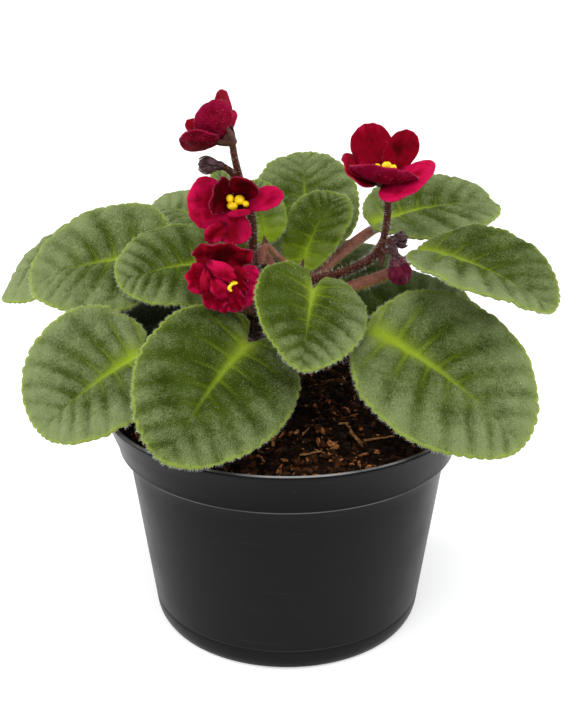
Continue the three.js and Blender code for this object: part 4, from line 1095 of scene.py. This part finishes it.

# Each flower: throat is the mouth of its tube, face the way it looks, and sepals the reach and the
# rise of its sepals. Each petal has its painted light and shade, from dark to bright, its tip, its
# width, cup (how far its sides come forward), arch (its bulge along) and curl at the tip. Some have
# a root and a face of their own, narrow (how much narrower the root is), ruffle (waves of the edge),
# pleat (creases along the petal) and fold (how far the edge rolls back).
FLOWERS = {
    "flower_right": dict(throat=(30, 4, 148.5), face=(0, -0.45, 0.9), petals=[
        dict(painted_light=0.46, tip=(23.9, 9, 162.8), width=13, narrow=0.06, cup=1, arch=-1, curl=-0.5,
             face=(0, -0.9, 0.4)),
        dict(painted_light=0.32, tip=(39, 8, 160.7), width=9.8, narrow=0.02, cup=1, arch=-1, curl=-0.5,
             face=(0, -0.9, 0.3)),
        dict(painted_light=0.8, tip=(41, -9.5, 149.2), width=21, narrow=0.05, cup=1, arch=-0.8, curl=-0.4,
             face=(-0.15, -0.5, 0.85)),
        dict(painted_light=0.45, tip=(29, -9.5, 153.2), width=21, narrow=0.1, cup=2.8, arch=-2.6, curl=1.2,
             face=(0.17, 0.32, 0.93)),
        dict(painted_light=0.42, tip=(16.8, 0, 152.4), width=15, narrow=0.1, cup=2, arch=-2.2, curl=1.5),
    ]),
    "flower_middle": dict(throat=(-15.5, -4.5, 141.2), face=(0.1, -0.92, 0.35), petals=[
        dict(painted_light=0.7, tip=(-29.7, -8, 142.8), width=16, narrow=0.1, cup=1, arch=-0.8, curl=-0.6, fold=1),
        dict(painted_light=0.66, tip=(-17.8, -9, 129.7), width=12.5, narrow=0.2, cup=1.2, arch=-0.6, curl=0.8),
        dict(painted_light=0.86, tip=(-1.2, -9.5, 145), width=8, narrow=0.1, cup=1.6, arch=-0.8, curl=0.5,
             face=(-0.25, -0.75, 0.6)),
        dict(painted_light=0.08, tip=(-22.6, -11, 147), width=11.5, narrow=0, cup=1.2, arch=-1.2, curl=1.4,
             ruffle=0.3, face=(0.5, -0.55, 0.05)),
        dict(painted_light=0.08, tip=(-11.4, -9.5, 150.6), width=9.5, narrow=0, cup=1.6, arch=-1.2, curl=1.6,
             face=(-0.25, -0.9, -0.3)),
        dict(painted_light=0.55, root=(-18.4, -8.2, 136.2), tip=(-24.6, -10.2, 131), width=5.6, cup=1.2, arch=0.9,
             curl=0.8, ruffle=0.6, pleat=0.9),
        dict(painted_light=0.8, root=(-10, -9.2, 140.2), tip=(-18, -9.8, 139.2), width=1.9, cup=-0.6, arch=0.5,
             curl=-0.3),
    ]),
    "flower_low": dict(throat=(-19.4, -18, 122), face=(-0.1, -0.97, 0.2), is_half_double=True, petals=[
        dict(painted_light=0.2, tip=(-19.4, -18.5, 132.8), width=18.4, narrow=0, cup=1, arch=-1, curl=0.8,
             ruffle=1.3, pleat=0.6),
        dict(painted_light=0.56, tip=(-30, -21, 122.2), width=9.5, cup=1.4, arch=-0.8, curl=0.8, fold=1.4,
             ruffle=0.7),
        dict(painted_light=0.92, tip=(-9.6, -20.5, 116.8), width=15.5, narrow=0.1, cup=1, arch=-0.8, curl=0.4,
             ruffle=1, pleat=0.5),
        dict(painted_light=0.52, tip=(-22.8, -22, 113.2), width=8, cup=1.4, arch=-0.6, curl=1, ruffle=1.6,
             pleat=0.9),
        dict(painted_light=0.56, tip=(-17.8, -22, 112.2), width=7, cup=-1.2, arch=0.8, curl=0.6, ruffle=1.6,
             pleat=0.9),
        dict(painted_light=0.4, tip=(-13.5, -22.5, 113.8), width=6, cup=1.4, arch=0.5, curl=0.8, ruffle=0.9,
             pleat=0.7),
        dict(painted_light=0.78, root=(-23.8, -21.4, 128), tip=(-15.5, -23.2, 123.2), width=5, cup=-1.6, arch=2.2,
             curl=-1, ruffle=0.6, pleat=1),
        dict(painted_light=0.7, root=(-22.4, -21.4, 123.4), tip=(-18.4, -23.6, 117.2), width=4.8, cup=-1.6, arch=2,
             curl=-1, ruffle=0.7, pleat=1),
        dict(painted_light=0.6, root=(-24, -20.8, 126.4), tip=(-24.4, -22, 117.8), width=3.6, cup=-1, arch=1.4,
             curl=-0.8, ruffle=0.6, pleat=0.9),
        dict(painted_light=0.5, root=(-17.4, -21, 121.4), tip=(-14.4, -22.5, 115.4), width=4.6, cup=1.2, arch=1.2,
             curl=-0.6, ruffle=0.8, pleat=0.9),
        dict(painted_light=0.35, root=(-17, -20, 126), tip=(-11.8, -22, 122.4), width=4.2, cup=-1, arch=1.4,
             curl=0.4, ruffle=0.6, pleat=0.8),
        dict(painted_light=0.3, root=(-15.8, -20, 123), tip=(-12.4, -22.2, 118.6), width=3.8, cup=1, arch=1,
             curl=0.4, ruffle=0.5, pleat=0.8),
    ]),
    "flower_top": dict(throat=(-19.6, -2, 162.3), face=(-0.7, 0.1, 0.6), sepals=(4.4, 5), petals=[
        dict(painted_light=0.38, tip=(-24.8, -7.5, 171.8), width=12, narrow=0.15, cup=2, arch=-2.2, curl=0.6,
             face=(-0.3, 0.9, 0.1)),
        dict(painted_light=0.42, tip=(-19.9, -0.5, 175.2), width=9.5, cup=1.5, arch=-1.2, curl=0.4,
             face=(-0.85, -0.5, 0)),
        dict(painted_light=0.2, tip=(-31.9, -6, 161.8), width=15.5, narrow=0.1, cup=1.6, arch=-2.2, curl=0.6,
             face=(0.2, 0.6, 0.75)),
        dict(painted_light=0.62, tip=(-17.9, 7, 167), width=7.5, narrow=0.1, cup=1, arch=-1, curl=0.4,
             face=(-0.5, -0.85, 0.1)),
        dict(painted_light=0.3, tip=(-30.6, 3, 165), width=8, cup=1.5, arch=-1.4, curl=0.4, face=(0, -0.3, 0.9)),
    ]),
}
stalk_skin = stem_finish(
    "dark_ruddy_stalk", (0.064, 0.012, 0.004, 1), (0.05, 0.015, 0.003, 1), (1, 0.8, 0.78, 1))
sepal_skin = stem_finish("sepal", (0.065, 0.02, 0.013, 1), (0.06, 0.034, 0.014, 1), (1, 0.85, 0.8, 1))
stalk_hair = hair_finish("pale_stalk_hair", (0.74, 0.69, 0.62, 1))


def small_blade(name, root, tip, width, face, arch, finish):
    """A sepal or bract: a small pointed blade from its root to its tip, with rounded faces."""
    piece, share, turn = disc_piece(name, SEPAL_CELLS)
    root, tip, face = np.array(root, float), np.array(tip, float), np.array(face, float)
    way = tip - root
    length = np.linalg.norm(way)
    way /= length
    root -= 0.2 * length * way
    length *= 1.2
    aside = unit(np.cross(face, way))
    along = 0.4 + share * np.cos(turn) * np.where(np.cos(turn) > 0, 0.6, 0.4)
    across = 0.5 * width * share * np.sin(turn) * (1 - 0.75 * np.maximum(np.cos(turn), 0) ** 2)
    forward = arch * 4 * along * (1 - along) + 0.18 * width * (2 * across / width) ** 2
    steps = (along * length, way), (across, aside), (forward, np.cross(way, aside))
    move_corners(piece, laid_out(root, *steps))
    thicken(piece, SEPAL, finish)
    return piece


def aimed(corners, way, at):
    """Corners modelled about +Z, turned to look a way and moved to a place."""
    turn = Vector((0, 0, 1)).rotation_difference(Vector(way)).to_matrix()
    return corners @ np.array(turn).T + np.array(at)


def put_on_flower(piece, flower):
    """Turns a piece modelled about +Z to look as its flower does and puts it in the throat."""
    move_corners(piece, aimed(corners_of(piece) / MM, flower["face"], flower["throat"]))


def calyx(flower, down_parts):
    """A flower's calyx: a small cup round the tube and five sepals that spread under the petals."""
    face = unit(np.array(flower["face"], float))
    base = np.array(flower["throat"]) - face * (THROAT_DEPTH + CALYX_KNOB)
    reach, rise = flower.get("sepals", (SEPAL_REACH, SEPAL_RISE))
    side = unit(np.cross([1, 0, 0], face))
    other = np.cross(face, side)
    cup = turned_form("calyx_cup", CALYX_RINGS, 24)
    put_on_flower(cup, flower)
    cup.data.materials.append(sepal_skin)
    parts = [cup]
    for i in range(5):
        angle = (i + 0.5) / 5 * 2 * math.pi
        out = math.cos(angle) * side + math.sin(angle) * other
        tip = base + reach * out + rise * face
        parts.append(small_blade("sepal", base + 0.8 * out, tip, SEPAL_WIDTH, face, -0.6, sepal_skin))
        down_parts.append(stem_down(route([base, tip], 6), radii_along([0.8, 0.4], 7), 2, 0.9))
    return parts


for name, stalk in STALKS.items():
    parts, down_parts = [], []
    for radius, points in stalk["stems"]:
        places = route(points, STEM_STEPS)
        thickness = radii_along([radius * STALK_TAPER, radius], len(places))
        parts.append(round_stem("stem", places, thickness, stalk_skin))
        down_parts.append(stem_down(places, thickness, STALK_HAIRS_PER_MM2, STALK_HAIR_LENGTH))
    for flower_name in stalk["calyces"]:
        parts.extend(calyx(FLOWERS[flower_name], down_parts))
    for start, end in stalk["bracts"]:
        parts.append(small_blade("bract", start, end, BRACT_WIDTH, (0, -1, 0.3), 0.5, sepal_skin))
    branch = joined(name + "_branched", parts)
    smooth(branch)
    finished(branch, "stem", name)
    hairs(name + "_hairs", "stem", down_parts, STALK_HAIR_RADIUS, stalk_hair)

# The flowers: four corollas of soft crimson petals that glisten like velvet, paler and downy on
# the back, each joined into a short tube at the throat. The low one is half double, with small
# extra petals. Each is one grown piece and sits in its calyx.
PETAL_CELLS = 28
PETAL = 0.55
PETAL_ROOT = 0.62
PETAL_SINK = 0.5
PETAL_WIDEST = 0.58
PETAL_NARROWING = 0.3
PETAL_PLEAT = 0.22
PETAL_HAIRS_PER_MM2 = 0.6
PETAL_HAIR_RADIUS = 0.035
RUFFLES = 6
# The deep colours serve as painted shade as well as the colour of the throat and the rays; the lit ones are
# painted light.
PETAL_DEEP_AND_SHADE = (0.05, 0.0001, 0.0015, 1)
PETAL_CRIMSON = (0.22, 0.0002, 0.009, 1)
PETAL_LIT = (0.5, 0.004, 0.058, 1)
PETAL_BACK = (0.19, 0.001, 0.018, 1)
PETAL_BACK_DEEP_AND_SHADE = (0.06, 0.0003, 0.003, 1)
PETAL_BACK_LIT = (0.38, 0.012, 0.085, 1)
PETAL_RIM = (0.42, 0.015, 0.1, 1)
# Pale pink specks on the grain: painted glints.
PETAL_GLINT = (0.62, 0.14, 0.27, 1)


def petal_velvet(name, deep_and_shade, plain, lit, glint_share):
    """Petal skin: fine rays from the throat, darker at the throat, painted light and shade, and painted
    glints on a fine grain.
    """
    finish, tree = new_finish(name, Roughness=0.5, Specular_IOR_Level=0.025)
    place = read_attribute(tree, "petal_place")
    parts = split(tree, place)
    painted_light = read_attribute(tree, "petal_painted_light", "Fac")
    rays = cloud(tree, stretched(tree, place, (1.2, 5, 0)), 1.4, 4, 0.6)
    grain = cloud(tree, place_of(tree), 3200, 2)
    patches = cloud(tree, place_of(tree), 260, 3)
    # Painted light and shade: each petal's level from dark to bright, with random patches, lighter farther
    # out.
    light = plus(tree, painted_light, ramp(tree, patches, 0.35, 0.65, -0.14, 0.14),
                 ramp(tree, parts[2], 0.3, 0.95, -0.08, 0.14))
    base = mixed(tree, ramp(tree, light, 0.0, 0.5), deep_and_shade, plain)
    base = mixed(tree, ramp(tree, light, 0.5, 1.0), base, lit)
    base = mixed(tree, ramp(tree, parts[0], 0.3, 0.02, 0, 0.8), base, deep_and_shade)
    base = mixed(tree, ramp(tree, rays, 0.48, 0.72, 0, 0.3), base, deep_and_shade)
    base = mixed(tree, ramp(tree, parts[2], 0.95, 1.0, 0, 0.2), base, PETAL_RIM)
    # Painted glints on the fine grain, more on the back.
    base = mixed(tree, ramp(tree, grain, 0.66, 0.76, 0, glint_share), base, PETAL_GLINT)
    painted(tree, base, plus(tree, grain, times(tree, rays, 1.5)), 0.6, 0.3)
    return finish


petal_face = petal_velvet("petal_velvet", PETAL_DEEP_AND_SHADE, PETAL_CRIMSON, PETAL_LIT, 0.12)
petal_back = petal_velvet("petal_back", PETAL_BACK_DEEP_AND_SHADE, PETAL_BACK, PETAL_BACK_LIT, 0.55)
petal_hair = hair_finish("pink_petal_hair", (0.5, 0.14, 0.22, 1))


def petal(flower, one, seed):
    """A petal from the throat to its tip, cupped across, arched along and softly crumpled, and the
    groups of its hairs, on its back and round its edge."""
    mouth = unit(np.array(flower["face"], float))
    throat = np.array(flower["throat"], float)
    reach = np.array(one["tip"]) - throat
    flat = unit(reach - mouth * reach.dot(mouth))
    root = np.array(one.get("root", throat + flat * PETAL_ROOT * THROAT_RADIUS - mouth * PETAL_SINK))
    way = np.array(one["tip"]) - root
    length = np.linalg.norm(way)
    way /= length
    aside = unit(np.cross(one.get("face", flower["face"]), way))
    normal = np.cross(way, aside)
    width = one["width"]
    narrowing = one.get("narrow", PETAL_NARROWING)
    pleat = one.get("pleat", PETAL_PLEAT)

    def surface(share, turn):
        back = np.maximum(-np.cos(turn), 0)
        half = 0.5 * width * np.sin(turn) * (1 - narrowing * back)
        t = PETAL_WIDEST + share * np.cos(turn) * np.where(back > 0, PETAL_WIDEST, 1 - PETAL_WIDEST)
        across = share * half
        ray = np.arctan2(across / width, t - PETAL_WIDEST)
        out = np.minimum(np.hypot(2 * across / width, (t - PETAL_WIDEST) / (1 - PETAL_WIDEST)), 1)
        wave = one.get("ruffle", 0) * out**3 * np.sin(RUFFLES * ray)
        forward = one["arch"] * 4 * t * (1 - t) + one["cup"] * (2 * across / width) ** 2 + one["curl"] * t**4
        seeds = np.full(len(t), 3.1 * seed)
        crumple = [noise.noise(Vector(place)) for place in np.column_stack([2.6 * t, across * 0.28, seeds])]
        pleats = [noise.noise(Vector(place)) for place in np.column_stack([0.9 * t, across * 0.75, seeds])]
        forward += wave + 0.45 * np.array(crumple) * out + pleat * np.array(pleats)
        forward -= one.get("fold", 0.5) * out**6
        edge = [noise.noise(Vector((3.2 * math.cos(a), 3.2 * math.sin(a), 3.1 * seed + 50))) for a in turn]
        t = t + (0.03 + 0.03 * one.get("ruffle", 0)) * np.array(edge) * share**3
        corners = laid_out(root, (t * length, way), (across, aside), (forward, normal))
        return corners, (t, 2 * across / width, share)

    piece, share, turn = disc_piece("petal", PETAL_CELLS if width > 8 else PETAL_CELLS // 2)
    corners, marks = surface(share, turn)
    move_corners(piece, corners)
    write_attribute(piece, "petal_place", *marks)
    # Each petal's painted light and shade, from dark to bright.
    write_attribute(piece, "petal_painted_light", one["painted_light"])
    thicken(piece, PETAL, petal_face, petal_back)

    count = int(length * width * PETAL_HAIRS_PER_MM2)
    share, turn = np.sqrt(rng.uniform(0, 1, count)), rng.uniform(-math.pi, math.pi, count)
    corners, _ = surface(share, turn)
    back = -normal + 0.4 * rng.normal(size=(count, 3))
    down = [(corners - normal * PETAL * 0.45, back, rng.uniform(0.25, 0.6, count))]
    rim_count = int(9 * width)
    turn = rng.uniform(-2.4, 2.4, rim_count)
    corners, _ = surface(np.ones(rim_count), turn)
    outward = np.multiply.outer(np.cos(turn), way) + np.multiply.outer(np.sin(turn), aside)
    down.append((corners, outward + 0.4 * rng.normal(size=(rim_count, 3)), rng.uniform(0.3, 0.7, rim_count)))
    return piece, down


def throat_tube(flower):
    """The short tube that holds the petals."""
    rings = [(1.56, -THROAT_DEPTH), (2.2, -1.6), (THROAT_RADIUS, -PETAL_SINK), (THROAT_RADIUS, 0.2),
             (THROAT_RADIUS - 0.35, 0.35), (THROAT_RADIUS - 0.7, 0.2), (1.6, -1.2), (0.8, -1.9)]
    tube = turned_form("throat", rings, 24)
    put_on_flower(tube, flower)
    write_attribute(tube, "petal_place", 0, 0, 0)
    write_attribute(tube, "petal_painted_light", 0.3)
    tube.data.materials.append(petal_face)
    return tube


petal_seed = 0
for name, flower in FLOWERS.items():
    parts, down_parts = [], []
    for one in flower["petals"]:
        piece, down = petal(flower, one, petal_seed)
        petal_seed += 1
        parts.append(piece)
        down_parts.extend(down)
    parts.append(throat_tube(flower))
    corolla = joined(name + "_corolla", parts)
    smooth(corolla)
    finished(corolla, "petal", name + "_petals")
    hairs(name + "_hairs", "petal", down_parts, PETAL_HAIR_RADIUS, petal_hair)

# The anthers: two bright yellow pollen sacs of two lobes each, grown together on a short stalk in
# the throat of each single flower, and one small bent one in the half-double flower.
ANTHER_LOBES = [(-2.1, 1.2, 2.4, 2.6), (-1.2, -1, 3.4, 2.5), (0.8, 1, 3.2, 3), (2.8, -0.1, 2, 2)]
ANTHER_HEIGHT = 1.9
FILAMENT_RADIUS = 0.45
FILAMENT_FOOT = -THROAT_DEPTH + 1.45
BENT_FILAMENT = [(0, 0, FILAMENT_FOOT), (2, -1, 2.6), (4.8, -1.5, 5), (3.4, -1.8, 5.8), (2.7, -2.8, 6),
                 (3.2, -3.8, 6)]
BENT_THICKNESS = (1, 1, 0.9, 1, 1.3, 0.9)
pollen_yellow = patchy(
    "yellow_anther", (1, 0.72, 0.0, 1), (0.9, 0.5, 0.0, 1), (700, 3), (0.4, 0.7), (3500, 2), (0.4, 0.15),
    Roughness=0.45, Specular_IOR_Level=0.45, Subsurface_Weight=0.15, Subsurface_Scale=0.001)


def anther_lobe(across, up, width, height):
    """One lobe of an anther, a plump egg with a slit along its upper side."""
    select_only()
    bpy.ops.mesh.primitive_uv_sphere_add(segments=24, ring_count=16, radius=0.5)
    lobe = bpy.context.object
    corners = corners_of(lobe)
    corners[:, 2] -= 0.07 * np.exp(-((corners[:, 0] / 0.08) ** 2)) * np.clip(4 * corners[:, 2], 0, 1)
    corners = corners * [width, height, width] + [across, up, ANTHER_HEIGHT + 0.2 * across]
    move_corners(lobe, corners)
    lobe.data.materials.append(pollen_yellow)
    return lobe


for name, flower in FLOWERS.items():
    if flower.get("is_half_double"):
        places = route(BENT_FILAMENT, 6)
        thickness = radii_along([share * FILAMENT_RADIUS for share in BENT_THICKNESS], len(places))
        anther = round_stem("filament", places, thickness, pollen_yellow)
    else:
        places = route([(0, 0, FILAMENT_FOOT), (0, 0, ANTHER_HEIGHT)], 4)
        lobes = [anther_lobe(*lobe) for lobe in ANTHER_LOBES]
        filament = round_stem("filament", places, [FILAMENT_RADIUS] * len(places), pollen_yellow)
        anther = joined("anther", lobes + [filament])
    put_on_flower(anther, flower)
    anther.name = name + "_pollen_sacs"
    smooth(anther)
    finished(anther, "anther", name + "_anthers")

# The buds: three closed buds, ribbed where the folded petals press against each other, with
# sepals round their base. The hanging one is crimson and nearly open, the others dark and hairy.
BUD_FOLDS = 5
BUD_HAIRS = 16
OPEN_BUD_HAIRS = 7
BUD_HAIR_RADIUS = 0.035
BUD_HAIR_LENGTHS = (0.3, 0.8)
BUD_SEPAL = 0.4
BUD_SEPAL_CELLS = 12
BUD_SEPAL_SPREAD = 0.52
BUD_SEAT = (0.3, 1.3)

# Each bud grows from its root a way; depth is that of its grooves and cover how far its sepals
# reach. The open one also has swell and point (where it is fullest and how blunt it ends), spread
# (the width of its sepals) and seat (the width and the stretch of the swelling at its foot).
BUDS = {
    "bud_dark_left": dict(root=(-19.8, -1.05, 152.1), way=(-1, -0.1, 0.1), length=7.4, width=5, depth=0.1,
                          cover=0.95),
    "bud_crimson_hanging": dict(root=(32.8, 1, 126.3), way=(0.33, 0, -1), length=13.8, width=8, depth=0.17,
                                cover=0.45, swell=1.9, point=0.75, spread=0.36, seat=(0.2, 2), is_open=True),
    "bud_dark_right": dict(root=(32.9, 6.6, 126.4), way=(0.8, 0.3, -0.1), length=6, width=4.8, depth=0.08,
                           cover=0.9),
}


def bud_skin(name, dark, plain, sheen_tint):
    return patchy(name, dark, plain, Roughness=0.5, Specular_IOR_Level=0.1, Sheen_Weight=0.04,
                  Sheen_Roughness=0.35, Sheen_Tint=sheen_tint)


crimson_bud = bud_skin("crimson_bud", (0.08, 0.003, 0.015, 1), (0.21, 0.014, 0.05, 1), (1, 0.6, 0.9, 1))
dark_bud = bud_skin("dark_bud", (0.016, 0.004, 0.005, 1), (0.05, 0.016, 0.016, 1), (1, 0.8, 0.8, 1))
bud_sepal_skin = bud_skin(
    "grey_violet_sepal", (0.03, 0.011, 0.013, 1), (0.11, 0.06, 0.065, 1), (1, 0.85, 0.85, 1))


def bud_surface(one, t, around, lift=0.0):
    """Places on a bud at a share t of its length and an angle round it, raised by a lift."""
    swell = np.clip(np.sin(math.pi * t ** one.get("swell", 1.35)), 0, 1) ** one.get("point", 0.8)
    ridge = np.abs(np.cos(BUD_FOLDS / 2 * (around + 0.5 * t))) ** 0.7
    groove = 1 - 2.4 * one["depth"] * (1 - ridge) * np.sin(math.pi * t)
    radius = 0.5 * one["width"] * swell * groove + lift
    upright = np.column_stack([radius * np.cos(around), radius * np.sin(around), t * one["length"]])
    return aimed(upright, one["way"], one["root"])


def bud_sepal(one, facing):
    """A sepal pressed against its bud, pointed and a little lifted at its tip."""
    piece, share, turn = disc_piece("sepal", BUD_SEPAL_CELLS)
    front = np.maximum(np.cos(turn), 0)
    along = 0.4 + share * np.cos(turn) * np.where(front > 0, 0.6, 0.4)
    aside = share * np.sin(turn) * (1 - 0.8 * front**2)
    t = 0.02 + one["cover"] * along
    lift = 0.3 + 0.7 * along**5 - 0.15 * aside**2
    move_corners(piece, bud_surface(one, t, facing + one.get("spread", BUD_SEPAL_SPREAD) * aside, lift))
    thicken(piece, BUD_SEPAL, bud_sepal_skin)
    return piece


for name, one in BUDS.items():
    select_only()
    bpy.ops.mesh.primitive_uv_sphere_add(segments=60, ring_count=30, radius=1)
    bud = bpy.context.object
    x, y, z = corners_of(bud).T
    move_corners(bud, bud_surface(one, 0.5 + 0.5 * z, np.arctan2(y, x)))
    bud.data.materials.append(crimson_bud if one.get("is_open") else dark_bud)
    bpy.ops.mesh.primitive_uv_sphere_add(segments=20, ring_count=12, radius=1)
    seat = bpy.context.object
    seat_width, seat_stretch = one.get("seat", BUD_SEAT)
    upright = corners_of(seat) * seat_width * one["width"] * np.array([1, 1, seat_stretch])
    upright += [0, 0, 0.12 * one["length"]]
    move_corners(seat, aimed(upright, one["way"], one["root"]))
    seat.data.materials.append(bud_sepal_skin)
    sepals = [bud_sepal(one, (i + 0.5) / 5 * 2 * math.pi) for i in range(5)]
    hair_share = OPEN_BUD_HAIRS if one.get("is_open") else BUD_HAIRS
    count = int(hair_share * one["width"] * one["length"])
    t, around = rng.uniform(0.03, one["cover"], count), rng.uniform(-math.pi, math.pi, count)
    roots = bud_surface(one, t, around, 0.2)
    out = unit(bud_surface(one, t, around, 1.2) - roots)
    lengths = rng.uniform(*BUD_HAIR_LENGTHS, count)
    whole = joined(name + "_ribbed", [bud, seat, *sepals])
    smooth(whole)
    finished(whole, "bud", name)
    group = (roots, out + 0.4 * rng.normal(size=(count, 3)), lengths)
    hairs(name + "_hairs", "bud", [group], BUD_HAIR_RADIUS, stalk_hair)
